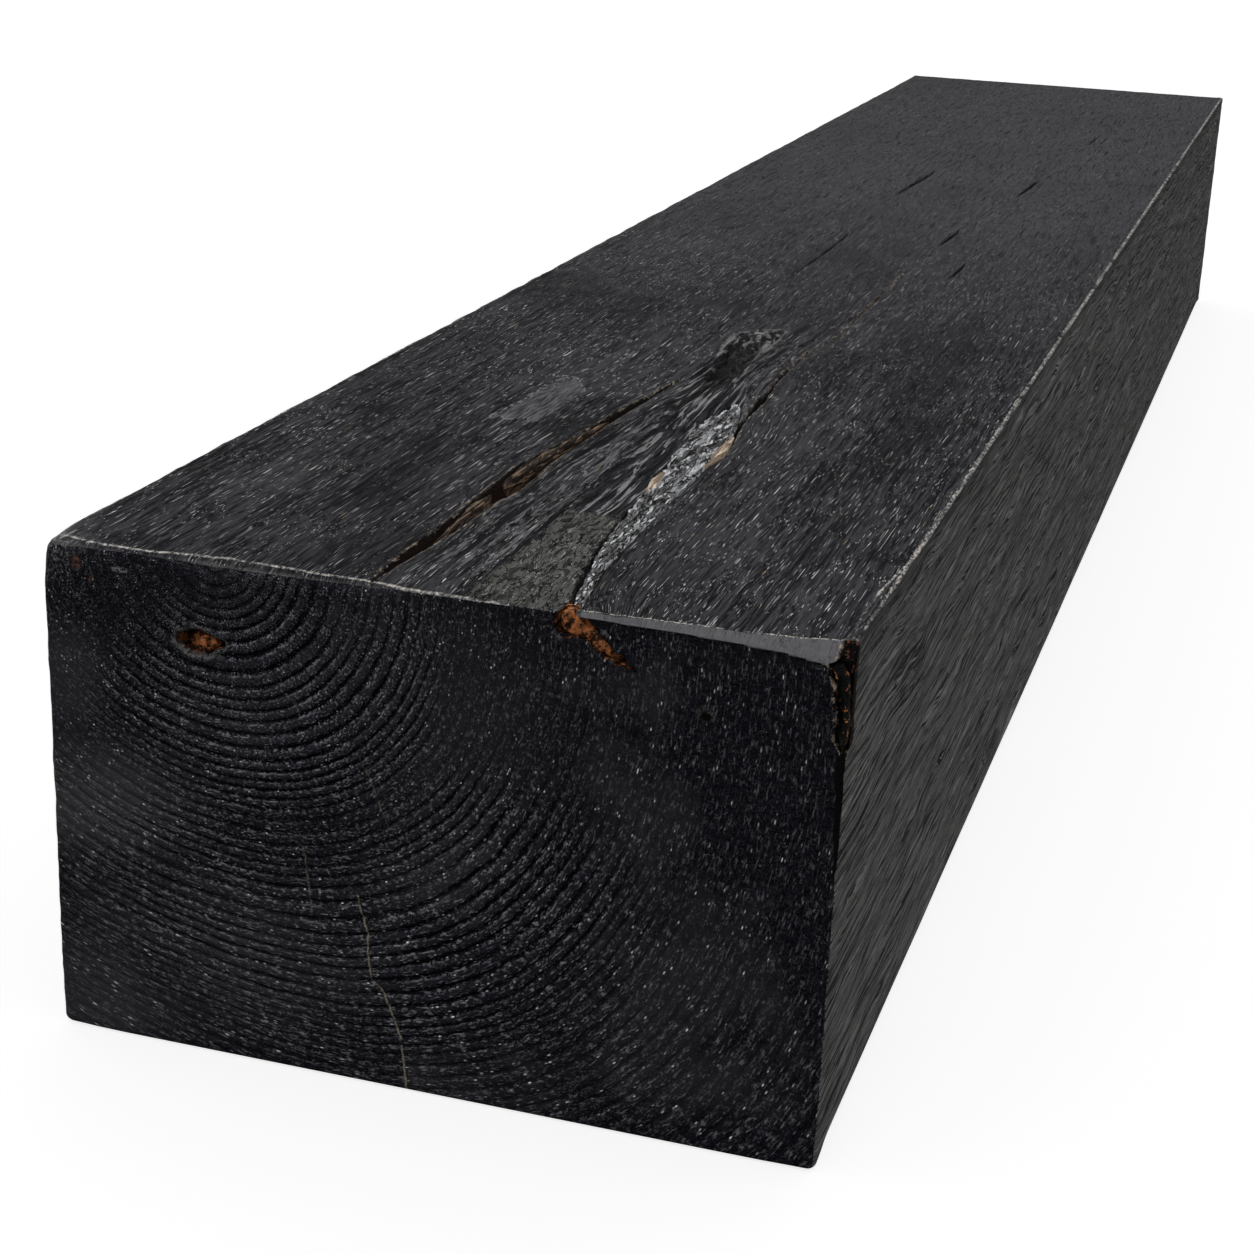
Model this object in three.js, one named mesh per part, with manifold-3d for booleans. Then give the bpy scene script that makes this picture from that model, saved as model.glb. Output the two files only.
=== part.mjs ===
// A charcoal-black baulk of timber, sawn square and brushed, lying on its base.
// One stick of wood, with the separate bits of natural tissue that sit in its faces: a ridge of
// bark and a dead knot in the branch scar on top, splinters left standing in the drying checks,
// and brown rotten wood in the pockets of the near end.
// Millimetres, +Z up. The origin is the middle of the base; the grain runs along Y and the
// brushed end with the growth rings faces -Y.
import * as THREE from "three";
import { ConvexGeometry } from "three/addons/geometries/ConvexGeometry.js";
import { mergeVertices } from "three/addons/utils/BufferGeometryUtils.js";
import Module from "manifold-3d";

const wasm = await Module();
wasm.setup();

// The baulk itself.
const width = 225;
const height = 148;
const length = 1245;
const baseArrisRadius = 5;
const leftArrisRadius = 3;
const rightArrisRadius = 1.5;
const endArris = 1.2;

// Every inlaid piece stands this far clear of the wood around it.
const gap = 0.3;

// How deep the hollows go below the face they open on.
const checkDepth = 9;
const barkDepth = 7;
const stubDepth = 10;
const endHoleDepth = 10;
const pocketDepth = 10;
const cornerDepth = 7;

// Spare length of a cutting body outside the face it cuts.
const overshoot = 5;

// Outlines are given as stations along a middle line: [across, along, width].
// On the top face, across is measured from the left side and along from the near end.
const leftCheck = [
  [96.1, 5.5, 0.4],
  [96.6, 45, 3.4],
  [97.3, 104, 8.8],
  [98.6, 140, 7.3],
  [101.6, 182, 3.7],
  [107.2, 251, 0.4],
];
const nearSplinter = [
  [97.0, 48, 1.0],
  [97.2, 72, 3.4],
  [97.0, 88, 1.2],
];
const farSplinter = [
  [95.6, 108, 1.6],
  [96.8, 128, 4.6],
  [99.8, 152, 3.2],
  [102.2, 190, 0.8],
];
const rightCheck = [
  [147.3, 143, 1.2],
  [146.6, 163, 4.8],
  [142.3, 218, 3.2],
  [139.6, 262, 2.6],
  [139.2, 312, 0.8],
];
const paleSplinter = [
  [147.2, 149, 1.0],
  [146.6, 163, 3.6],
  [145.0, 184, 1.0],
];
const barkRidge = [
  [151.6, 14, 4],
  [146.2, 50, 6],
  [140.9, 104, 10],
  [135.6, 160, 13],
  [132.0, 228, 5],
];
const barkChip = [
  [139.4, 109, 1.2],
  [138.2, 120, 3.2],
  [136.2, 135, 1.0],
];
const knotScar = [
  [116.0, 250, 3],
  [115.4, 270, 11],
  [116.5, 298, 11],
  [115.0, 331, 15],
  [119.0, 343, 4],
];

// On the near end, across is measured from the left side and along is the height above the base.
const endHole = [
  [40.8, 124.6, 1.0],
  [44.0, 124.2, 6.8],
  [49.5, 124.6, 6.4],
  [54.8, 124.8, 1.2],
];
const endHoleFill = [
  [43.6, 123.0, 1.6],
  [47.0, 123.2, 4.6],
  [50.5, 124.2, 3.6],
  [53.4, 124.6, 0.8],
];
const rottenPocket = [
  [150.8, 150.0, 4.0],
  [151.4, 144.2, 7.6],
  [156.6, 142.0, 6.4],
  [162.4, 138.0, 3.2],
  [169.0, 134.2, 0.6],
];
const rottenPocketFill = [
  [151.0, 147.2, 4.0],
  [152.2, 144.0, 5.6],
  [156.4, 142.0, 4.8],
  [161.4, 138.7, 2.2],
  [164.6, 136.9, 0.8],
];
const brokenCorner = [
  [224.4, 149.0, 4.0],
  [223.4, 142.5, 7.0],
  [224.2, 131.0, 4.8],
  [224.6, 120.6, 2.0],
];
const brokenCornerFill = [
  [221.4, 142.2, 1.6],
  [223.0, 135.0, 2.0],
  [224.0, 126.0, 1.6],
  [224.2, 123.0, 1.0],
];

// The hewn facet on the near top arris, which widens towards the right.
const facetStart = { across: 152, setback: 3.4, drop: 0.5 };
const facetEnd = { across: width + 1, setback: 7.4, drop: 4.8 };
// The worn corner at the near end of the left top arris.
const cornerWear = { across: 7, along: 8, down: 6 };

const blackenedWood = { color: 0x2b2c2f, roughness: 0.72 };
const palerWood = { color: 0xb09a78, roughness: 0.8 };
const greyBark = { color: 0x777a78, roughness: 0.85 };
const darkKnot = { color: 0x1f1f21, roughness: 0.7 };
const rottenWood = { color: 0x7a4426, roughness: 0.9 };

// A three.js geometry as a manifold solid, for cutting.
function solidOf(geometry) {
  const bare = geometry.clone();
  bare.deleteAttribute("normal");
  bare.deleteAttribute("uv");
  const merged = mergeVertices(bare, 1e-4);
  return new wasm.Manifold(
    new wasm.Mesh({
      numProp: 3,
      vertProperties: merged.attributes.position.array,
      triVerts: new Uint32Array(merged.index.array),
    }),
  );
}

function geometryOf(solid) {
  const { vertProperties, triVerts } = solid.getMesh();
  const geometry = new THREE.BufferGeometry();
  geometry.setAttribute("position", new THREE.BufferAttribute(vertProperties, 3));
  geometry.setIndex(new THREE.BufferAttribute(triVerts, 1));
  return geometry;
}

// The closed outline of a strip that follows a smooth middle line, grown by a margin all round.
// Its two ends are cut square, as wide as the strip is there.
function stripOutline(stations, margin = 0) {
  const stepsPerStation = 5;
  const middle = new THREE.CatmullRomCurve3(
    stations.map(([across, along, wide]) => new THREE.Vector3(across, along, wide)),
  );
  const steps = stepsPerStation * (stations.length - 1);
  const oneSide = [];
  const otherSide = [];
  for (let i = 0; i <= steps; i++) {
    const { x, y, z: wide } = middle.getPoint(i / steps);
    const tangent = middle.getTangent(i / steps);
    const run = new THREE.Vector2(tangent.x, tangent.y).normalize();
    const endShift = i === 0 ? -margin : i === steps ? margin : 0;
    const at = new THREE.Vector2(x, y).addScaledVector(run, endShift);
    const sideways = new THREE.Vector2(-run.y, run.x).multiplyScalar(wide / 2 + margin);
    oneSide.push(at.clone().add(sideways));
    otherSide.unshift(at.clone().sub(sideways));
  }
  return new THREE.Shape([...otherSide, ...oneSide]);
}

function extrude(outline, depth) {
  return new THREE.ExtrudeGeometry(outline, { depth, bevelEnabled: false });
}

// A strip on the top face, as a body between two heights above the base.
function topStrip(stations, from, to, margin) {
  const body = extrude(stripOutline(stations, margin), to - from);
  return solidOf(body.translate(-width / 2, -length / 2, from));
}

// A strip on the near end, as a body between two distances in from that end.
function endStrip(stations, from, to, margin) {
  const body = extrude(stripOutline(stations, margin), to - from);
  return solidOf(body.rotateX(Math.PI / 2).translate(-width / 2, to - length / 2, 0));
}

// The square section with its four long arrises eased, drawn from the base upwards.
function baulkSection() {
  const half = width / 2;
  const section = new THREE.Shape();
  section.moveTo(-half + baseArrisRadius, 0);
  section.lineTo(half - baseArrisRadius, 0);
  section.absarc(half - baseArrisRadius, baseArrisRadius, baseArrisRadius, -Math.PI / 2, 0);
  section.lineTo(half, height - rightArrisRadius);
  section.absarc(half - rightArrisRadius, height - rightArrisRadius, rightArrisRadius, 0, Math.PI / 2);
  section.lineTo(-half + leftArrisRadius, height);
  section.absarc(
    -half + leftArrisRadius, height - leftArrisRadius, leftArrisRadius, Math.PI / 2, Math.PI,
  );
  section.lineTo(-half, baseArrisRadius);
  section.absarc(-half + baseArrisRadius, baseArrisRadius, baseArrisRadius, Math.PI, 1.5 * Math.PI);
  return section;
}

function squaredBaulk() {
  const body = new THREE.ExtrudeGeometry(baulkSection(), {
    depth: length - 2 * endArris,
    bevelThickness: endArris,
    bevelSize: endArris,
    bevelOffset: -endArris,
    bevelSegments: 2,
    curveSegments: 8,
  });
  body.rotateX(Math.PI / 2).translate(0, length / 2 - endArris, 0);
  return solidOf(body);
}

// Three corners of the wedge cut off the near top arris, at one distance across the end.
function facetCorners({ across, setback, drop }) {
  const x = across - width / 2;
  const near = -length / 2;
  return [
    new THREE.Vector3(x, near - setback, height - 2 * drop),
    new THREE.Vector3(x, near + 2 * setback, height + drop),
    new THREE.Vector3(x, near - setback, height + drop),
  ];
}

function hewnFacet() {
  return solidOf(new ConvexGeometry([...facetCorners(facetStart), ...facetCorners(facetEnd)]));
}

function wornCorner() {
  const corner = new THREE.Vector3(-width / 2 - 1, -length / 2 - 1, height + 1);
  const { across, along, down } = cornerWear;
  return solidOf(
    new ConvexGeometry([
      corner,
      corner.clone().add(new THREE.Vector3(across + 1, 0, 0)),
      corner.clone().add(new THREE.Vector3(0, along + 1, 0)),
      corner.clone().add(new THREE.Vector3(0, 0, -down - 1)),
    ]),
  );
}

function timberBody() {
  const aboveTop = height + overshoot;
  const hollows = [
    topStrip(leftCheck, height - checkDepth, aboveTop, 0),
    topStrip(rightCheck, height - checkDepth, aboveTop, 0),
    topStrip(barkRidge, height - barkDepth, aboveTop, 0),
    topStrip(knotScar, height - stubDepth, aboveTop, 0),
    endStrip(endHole, -overshoot, endHoleDepth, 0),
    endStrip(rottenPocket, -overshoot, pocketDepth, 0),
    endStrip(brokenCorner, -overshoot, cornerDepth, 0),
    hewnFacet(),
    wornCorner(),
  ];
  return hollows.reduce((body, hollow) => body.subtract(hollow), squaredBaulk());
}

// The bark lies almost flush in its groove, notched where a chip of pale wood rests on it.
function barkInclusion() {
  const ridge = topStrip(barkRidge, height - barkDepth + gap, height - 0.4, -gap);
  return ridge.subtract(topStrip(barkChip, height - 2.6, height + overshoot, gap));
}

// A piece as a named mesh with a matt material of its own.
function piece(name, solid, { color, roughness }) {
  const material = new THREE.MeshStandardMaterial({ color, roughness, metalness: 0 });
  const mesh = new THREE.Mesh(geometryOf(solid), material);
  mesh.name = name;
  return mesh;
}

const checkFloor = height - checkDepth + gap;
const baulk = new THREE.Group();
baulk.name = "charcoal_timber_baulk";
baulk.add(
  piece("timber_body", timberBody(), blackenedWood),
  piece("bark_inclusion", barkInclusion(), greyBark),
  piece("bark_chip", topStrip(barkChip, height - 2.3, height - 0.1, 0), palerWood),
  piece("knot_stub", topStrip(knotScar, height - stubDepth + gap, height - 1.6, -gap), darkKnot),
  piece("near_check_splinter", topStrip(nearSplinter, checkFloor, height - 1.4, 0), blackenedWood),
  piece("far_check_splinter", topStrip(farSplinter, checkFloor, height - 1.0, 0), palerWood),
  piece("pale_splinter", topStrip(paleSplinter, checkFloor, height - 0.6, 0), palerWood),
  piece("end_knot_fill", endStrip(endHoleFill, 2.5, endHoleDepth - gap, 0), rottenWood),
  piece("pocket_rotten_wood", endStrip(rottenPocketFill, 1.8, pocketDepth - gap, 0), rottenWood),
  piece("corner_rotten_wood", endStrip(brokenCornerFill, 2.0, cornerDepth - gap, 0), rottenWood),
);

export default baulk;
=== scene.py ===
"""A charcoal-black baulk of timber: sawn square, brushed, with growth rings on its near end and, on
its top face, an old branch scar with a bark inclusion, a dead knot and two drying checks.

Shapes are worked out in millimetres in the timber's own directions: across (from the left side),
along (from the near end) and up (from the base). They go to the row frame, in metres, at the end.
"""

import math

import bmesh
import bpy
import numpy as np
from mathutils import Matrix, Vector


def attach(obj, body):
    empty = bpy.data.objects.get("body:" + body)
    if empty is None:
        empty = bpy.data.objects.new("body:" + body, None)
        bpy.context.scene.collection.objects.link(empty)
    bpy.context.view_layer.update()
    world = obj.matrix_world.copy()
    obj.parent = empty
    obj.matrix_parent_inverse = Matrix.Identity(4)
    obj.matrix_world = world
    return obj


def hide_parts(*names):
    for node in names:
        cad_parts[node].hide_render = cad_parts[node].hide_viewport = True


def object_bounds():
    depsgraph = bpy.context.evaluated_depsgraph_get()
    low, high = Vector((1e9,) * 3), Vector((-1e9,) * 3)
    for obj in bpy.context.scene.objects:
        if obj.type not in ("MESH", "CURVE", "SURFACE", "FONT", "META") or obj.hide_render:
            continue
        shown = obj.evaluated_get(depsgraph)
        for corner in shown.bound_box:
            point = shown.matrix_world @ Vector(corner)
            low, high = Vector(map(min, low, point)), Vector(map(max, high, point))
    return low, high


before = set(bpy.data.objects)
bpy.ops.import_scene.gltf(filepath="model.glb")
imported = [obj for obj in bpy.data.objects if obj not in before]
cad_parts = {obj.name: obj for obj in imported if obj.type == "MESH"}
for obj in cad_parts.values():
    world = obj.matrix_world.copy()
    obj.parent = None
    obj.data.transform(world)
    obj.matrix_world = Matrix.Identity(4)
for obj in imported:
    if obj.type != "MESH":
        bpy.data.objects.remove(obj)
cad_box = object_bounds()
MM = 0.001
LOW = np.array(cad_box[0]) / MM
SIZE = np.array(cad_box[1]) / MM - LOW
WIDTH, LENGTH, HEIGHT = SIZE
ACROSS, ALONG, UP = 0, 1, 2

# The middle of the tree, seen on the near end: at the top face, left of centre.
PITH_ACROSS = 52.0
PITH_UP = 151.0
RING_WIDTH = 3.3
# How plain the rings are: [distance from the pith, strength].
RING_PLAINNESS = np.array([
    [0, 0.2], [14, 0.5], [24, 1], [66, 1], [76, 0.35], [90, 0.8], [125, 0.75], [150, 0.3], [200, 0.25],
])

# Stations along the grain: [along, across, width].
LEFT_CHECK = np.array([
    [2, 96.0, 0.2], [14, 95.8, 1.6], [34, 96.4, 3.6], [62, 97.0, 5.4], [85, 97.2, 7.4], [104, 97.3, 8.6],
    [127, 97.2, 8.4], [142, 98.4, 6.6], [155, 99.8, 5.0], [182, 101.6, 3.9], [208, 103.1, 2.6],
    [230, 105.3, 1.6], [252, 107.2, 0.3],
])
RIGHT_CHECK = np.array([
    [143, 145.2, 0.6], [150, 145.6, 3.0], [163, 146.0, 4.4], [178, 145.4, 3.2], [190, 144.2, 1.6],
    [206, 142.6, 1.2], [222, 141.8, 2.0], [236, 141.2, 2.4], [246, 140.6, 1.8], [262, 139.6, 1.1],
    [300, 139.0, 0.8], [322, 139.6, 0.7], [334, 141.6, 0.6], [410, 142.4, 0.4], [487, 142.2, 0.2],
])
# The line that the grain follows on the right of the scar: [along, across].
GRAIN_RIGHT = np.array([
    [0, 156.8], [12, 152.6], [47, 148.6], [76, 147.8], [108, 147.4], [143, 146.8], [180, 146.4],
    [224, 142.4], [288, 139.6], [340, 142.0], [700, 143.0], [LENGTH, 143.0],
])
# The branch scar lies between these two lines: [along, left edge, right edge].
SCAR = np.array([
    [-5, 122.5, 156], [10, 122, 152.5], [46, 122.5, 148.4], [90, 122, 147.6], [145, 119.5, 146.8],
    [200, 116, 142], [232, 112, 137], [262, 109, 129], [300, 107, 124.5], [331, 106.5, 124],
    [345, 112, 121],
])
KNOT_HOLLOW = np.array([
    [256, 116.4, 2], [266, 116.6, 7], [278, 117.5, 11], [300, 116.6, 12], [314, 115.8, 15],
    [331, 115.0, 16], [342, 119.5, 7], [346, 121, 2],
])
BARK = np.array([
    [3, 152.0, 3.2], [20, 148.6, 4.2], [40, 146.0, 5.0], [62, 144.0, 7.6], [90, 142.6, 9.6],
    [120, 141.6, 11.0], [150, 139.8, 12.4], [180, 137.2, 13.0], [205, 135.6, 11.5], [228, 134.2, 4.0],
])
# Short checks farther along the top: each is a list of [along, across] points and its width.
FAR_CHECKS = [
    ([[686, 97.4], [710, 96.8], [735, 98.4], [770, 100.2], [800, 100.2]], 2.2),
    ([[440, 99.0], [465, 98.6], [520, 99.4], [595, 99.2]], 1.3),
    ([[715, 155.6], [750, 157.2], [790, 158.2]], 1.9),
    ([[924, 164.8], [994, 168.0]], 1.2),
    ([[556, 144.2], [585, 145.0], [612, 145.8]], 2.0),
    ([[474, 161.4], [497, 163.0], [527, 162.8]], 1.8),
]


# --- Smooth curves and repeatable noise -----------------------------------------------------------

def smooth_line(at, stations, column):
    """The value of one station column at each distance, on a smooth curve through the stations."""
    x, y = stations[:, 0], stations[:, column]
    slope = np.gradient(y, x)
    at = np.clip(at, x[0], x[-1])
    i = np.clip(np.searchsorted(x, at) - 1, 0, len(x) - 2)
    span = x[i + 1] - x[i]
    t = (at - x[i]) / span
    start, end = y[i], y[i + 1]
    leave, arrive = slope[i] * span, slope[i + 1] * span
    return (
        start * (2 * t**3 - 3 * t**2 + 1) + leave * (t**3 - 2 * t**2 + t)
        + end * (3 * t**2 - 2 * t**3) + arrive * (t**3 - t**2)
    )


def ramp(value, low, high):
    """0 below low and 1 above high, easing smoothly between them. Low may be above high."""
    t = np.clip((value - low) / (high - low), 0, 1)
    return t * t * (3 - 2 * t)


def cell_value(ix, iy, iz, seed):
    """A repeatable value from 0 to 1 for each whole-numbered cell of a lattice."""
    mixed = (ix * 374761393 + iy * 668265263 + iz * 1274126177 + seed * 974711) & 0xFFFFFFFF
    mixed = ((mixed ^ (mixed >> 13)) * 1103515245) & 0xFFFFFFFF
    return ((mixed ^ (mixed >> 16)) & 0xFFFF) / 0xFFFF


def noise(points, cell, seed=0, octaves=1):
    """Smooth noise from -1 to 1. Cell is the size in mm of its features along each direction."""
    total, strength, reach = 0, 1.0, 0.0
    scaled = np.asarray(points, float) / np.array(cell, float)
    for octave in range(octaves):
        base = np.floor(scaled).astype(np.int64)
        t = scaled - base
        t = t * t * (3 - 2 * t)
        for corner in range(8):
            step = np.array([corner & 1, corner >> 1 & 1, corner >> 2 & 1])
            weight = np.prod(np.where(step, t, 1 - t), axis=-1)
            x, y, z = np.moveaxis(base + step, -1, 0)
            total = total + strength * weight * (2 * cell_value(x, y, z, seed + octave) - 1)
        reach += strength
        strength *= 0.55
        scaled = scaled * 2.0
    return total / reach


def in_plane(first, second):
    """Points for a noise that changes in two directions only."""
    return np.stack([first, second, 0 * second], -1)


def ridges(points, cell, seed=0, octaves=2):
    """Noise folded into sharp crests: 1 on a crest, falling to 0."""
    return 1 - np.abs(noise(points, cell, seed, octaves)) * 2


def strip_distance(a, b, stations):
    """How far each point (a, b) lies outside a strip through [a, b, width] stations."""
    nearest = np.full(np.shape(a), 1e9)
    for (a0, b0, w0), (a1, b1, w1) in zip(stations[:-1], stations[1:]):
        run = np.hypot(a1 - a0, b1 - b0)
        t = np.clip(((a - a0) * (a1 - a0) + (b - b0) * (b1 - b0)) / run**2, 0, 1)
        away = np.hypot(a - a0 - t * (a1 - a0), b - b0 - t * (b1 - b0))
        nearest = np.minimum(nearest, away - (w0 + t * (w1 - w0)) / 2)
    return nearest


# --- The block: six grids of points, sewn together along the arrises ------------------------------

ARRIS_STEPS = [0.35, 0.4, 0.5, 0.6, 0.8]
NEAR_STEP = 0.62
FAR_STEP = 2.5


def spaced(total, step_at):
    """Positions between two arrises: close together beside each arris, a local step apart between."""
    beside = np.cumsum(ARRIS_STEPS)
    place = beside[-1]
    middle = []
    while place + 1.4 * step_at(place) < total - beside[-1]:
        place += step_at(place)
        middle.append(place)
    return np.concatenate([beside, middle, total - beside[::-1]])


def top_step(across):
    return 0.6 if 86 < across < 162 else 1.1


def long_step(along):
    return float(np.interp(along, [0, 8, 20, 350, 600], [0.5, 0.7, 1.0, 1.1, 7.0]))


# The inner grid lines of each face. A face is named by its axis and its side, 0 low or 1 high.
FACE_LINES = {
    (ALONG, 0): (spaced(WIDTH, lambda a: NEAR_STEP), spaced(HEIGHT, lambda u: NEAR_STEP)),
    (ALONG, 1): (spaced(WIDTH, lambda a: FAR_STEP), spaced(HEIGHT, lambda u: FAR_STEP)),
    (UP, 1): (spaced(WIDTH, top_step), spaced(LENGTH, long_step)),
    (UP, 0): (spaced(WIDTH, lambda a: 9.0), spaced(LENGTH, lambda a: 14.0)),
    (ACROSS, 0): (spaced(LENGTH, lambda a: 1.8 * long_step(a)), spaced(HEIGHT, lambda u: 2.0)),
    (ACROSS, 1): (spaced(LENGTH, lambda a: 1.3 * long_step(a)), spaced(HEIGHT, lambda u: 1.6)),
}


class Block:
    """Gathers the points and faces of one closed box surface whose six faces have their own grids."""

    def __init__(self):
        self.points = np.zeros((0, 3))
        self.polygons = []
        self.face_names = []
        self.corners = {}
        self.arrises = {}

    def add_points(self, points):
        first = len(self.points)
        self.points = np.concatenate([self.points, points])
        return np.arange(first, len(self.points))

    def corner(self, sides):
        if sides not in self.corners:
            self.corners[sides] = self.add_points(np.array([sides]) * SIZE)[0]
        return self.corners[sides]

    def arris(self, axis, sides):
        """Point numbers along an arris, corner to corner. Sides holds None at the arris's own axis."""
        if sides not in self.arrises:
            short_step = FAR_STEP if sides[ALONG] == 1 else NEAR_STEP
            places = spaced(SIZE[axis], long_step if axis == ALONG else lambda place: short_step)
            points = np.tile(np.array([side or 0 for side in sides]) * SIZE, (len(places), 1))
            points[:, axis] = places
            start, end = [self.corner(tuple(e if s is None else s for s in sides)) for e in (0, 1)]
            self.arrises[sides] = np.concatenate([[start], self.add_points(points), [end]])
        return self.arrises[sides]

    def add_face(self, axis, side):
        a, b = [other for other in (ACROSS, ALONG, UP) if other != axis]
        lines_a, lines_b = FACE_LINES[axis, side]
        grid = np.zeros((len(lines_a), len(lines_b), 3))
        grid[..., a] = lines_a[:, None]
        grid[..., b] = lines_b[None, :]
        grid[..., axis] = side * SIZE[axis]
        ids = self.add_points(grid.reshape(-1, 3)).reshape(len(lines_a), len(lines_b))
        turned = (side == 0) != (axis == ALONG)
        quads = np.stack([ids[:-1, :-1], ids[1:, :-1], ids[1:, 1:], ids[:-1, 1:]], axis=-1)
        self.keep(quads.reshape(-1, 4), turned, (axis, side))
        for run, other in ((a, b), (b, a)):
            for end in (0, 1):
                sides = [None, None, None]
                sides[axis] = side
                sides[other] = end
                inner = ids[:, -end] if run == a else ids[-end, :]
                strip = self.sew(self.arris(run, tuple(sides)), inner, run)
                self.keep(strip, (turned != (end == 1)) != (run == b), (axis, side))

    def sew(self, border, inner, run):
        """Triangles between an arris and the line of the face's grid beside it."""
        border_places = np.append(self.points[border, run], np.inf)
        inner_places = np.append(self.points[inner, run], np.inf)
        triangles = []
        i = j = 0
        while i < len(border) - 1 or j < len(inner) - 1:
            if border_places[i + 1] <= inner_places[j + 1]:
                triangles.append((border[i], border[i + 1], inner[j]))
                i += 1
            else:
                triangles.append((border[i], inner[j + 1], inner[j]))
                j += 1
        return np.array(triangles)

    def keep(self, polygons, turned, face_name):
        self.polygons.append(polygons[:, ::-1] if turned else polygons)
        self.face_names += [face_name] * len(polygons)


def build_block():
    block = Block()
    for axis, side in FACE_LINES:
        block.add_face(axis, side)
    return block


# --- Shaping the block ----------------------------------------------------------------------------

LEFT_LINE = 97.0
RIGHT_LINE = 143.0
GRAIN_LEFT = np.concatenate([LEFT_CHECK, [[330, 107.0, 0], [600, 99.5, 0], [LENGTH, LEFT_LINE, 0]]])

# Rounding of the near top arris: [across, radius].
NEAR_TOP_ROUNDING = np.array([
    [0, 6.5], [6, 6.0], [14, 3.6], [29, 2.6], [53, 5.4], [64, 5.4], [80, 3.8], [99, 3.0], [106, 1.2],
    [123, 0.7], [225, 0.6],
])
# The facet hewn on the near top arris: [across, set back along the top, drop down the end].
FACET = np.array([
    [140, 0.2, 0.1], [147, 1.6, 0.5], [156, 3.8, 0.8], [179, 4.2, 1.2], [192, 4.6, 1.7],
    [207, 5.8, 2.6], [218, 7.8, 4.2], [226, 8.6, 4.8],
])
# The strip planed off the right-hand near arris: [up, width].
PLANED_STRIP = np.array([[60, 0.1], [82, 0.7], [112, 2.0], [122, 2.4], [148, 2.4]])

# Hollows of the near end: [across, up, width].
END_KNOT = np.array([[42.4, 124.9, 3.6], [45.0, 124.6, 6.6], [49.0, 124.6, 6.4], [53.2, 125.0, 2.2]])
POCKET = np.array([
    [150.2, 149.0, 4.6], [150.6, 144.6, 6.2], [154.6, 144.0, 6.4], [158.0, 141.8, 5.0],
    [161.4, 139.0, 4.0], [165.0, 136.6, 2.6], [169.6, 134.2, 0.6],
])
CORNER_HOLE = np.array([
    [223.8, 149.0, 3.4], [222.6, 143.6, 7.0], [223.8, 137.5, 5.6], [224.2, 130.0, 4.8],
    [224.2, 124.0, 4.6], [224.8, 121.0, 1.6],
])
# Tan hairlines down the near end: [up, across].
HAIRLINE_PLACES = {
    "long_hairline": np.array([
        [0, 108.2], [8, 107.4], [17, 106.2], [24, 103.6], [31, 100.6], [33, 97.6], [41, 96.4],
        [47, 96.4], [55, 93.8], [60, 92.8],
    ]),
    "short_hairline": np.array([[48, 80.0], [56.6, 79.0], [66, 77.8], [72, 77.2]]),
    "top_hairline": np.array([[80, 102.2], [85, 100.2], [90, 98.4], [95, 96.2], [99, 93.0]]),
}

# The plainest cracks on the right side face, from and to points [along, up].
SIDE_CRACKS = (((2, 141.5), (150, 134.0)), ((88, 106.5), (128, 98.5)))

# Taken from a distance mark in mm away from the feature's own face: enough to end the feature.
MARK_FALLOFF = 20.0
# The same for the worn lines, partly wear and partly painted highlights, whose marks grow by up to the
# timber's length.
FAR_AWAY = 10000.0


def grain_shift(across, along):
    """How far the grain is pushed sideways where it flows round the branch scar."""
    left = smooth_line(along, GRAIN_LEFT, 1) - LEFT_LINE
    right = smooth_line(along, GRAIN_RIGHT, 1) - RIGHT_LINE
    return (
        left * np.exp(-(((across - LEFT_LINE) / 18) ** 2))
        + right * np.exp(-(((across - RIGHT_LINE) / 20) ** 2))
    )


def arris_rounding(flat):
    """The radius of the nearest arris at each point, worn unevenly and most at the near left corner."""
    across, along, up = flat.T
    left, right, near, far = across, WIDTH - across, along, LENGTH - along
    base, top = up, HEIGHT - up
    wander = noise(flat, (7, 12, 7), seed=3, octaves=4)
    near_top = np.interp(across, *NEAR_TOP_ROUNDING.T) * (1 + 0.35 * wander)
    arrises = [
        (near, top, near_top), (near, base, 2.2), (near, left, 2.4 + wander), (near, right, 0.9),
        (far, top, 1.6), (far, base, 2.0), (far, left, 1.8), (far, right, 1.8),
        (left, top, 2.6 + 1.2 * wander), (right, top, 1.3 + 0.8 * wander + 1.2 * ramp(near, 80, 20)),
        (left, base, 5.0), (right, base, 5.0), (left, near + top, 7.0),
    ]
    reach = 8.0
    total = 1e-6
    radius = 1.5 * total
    for first, second, local in arrises:
        weight = np.exp(-(first**2 + second**2) / reach**2)
        total = total + weight
        radius = radius + weight * np.clip(local, 0.4, None)
    return radius / total


def round_arrises(flat):
    radius = arris_rounding(flat)[:, None]
    core = np.clip(flat, radius, SIZE - radius)
    outward = flat - core
    return core + outward / np.linalg.norm(outward, axis=1, keepdims=True) * radius


def plane_off(first, second, first_reach, second_reach):
    """Moves points outside a cut, given their distances from its two faces, straight onto it."""
    inside = first / first_reach + second / second_reach
    push = np.clip(1 - inside, 0, None) / (first_reach**-2 + second_reach**-2)
    return push / first_reach, push / second_reach


def check_inside(across, along, stations):
    """How far each point of the top lies inside a check, in mm: negative outside it."""
    beyond = np.maximum(stations[0, 0] - along, along - stations[-1, 0])
    half = smooth_line(along, stations, 2) / 2
    return half - np.abs(across - smooth_line(along, stations, 1)) - np.clip(beyond, 0, None)


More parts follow.
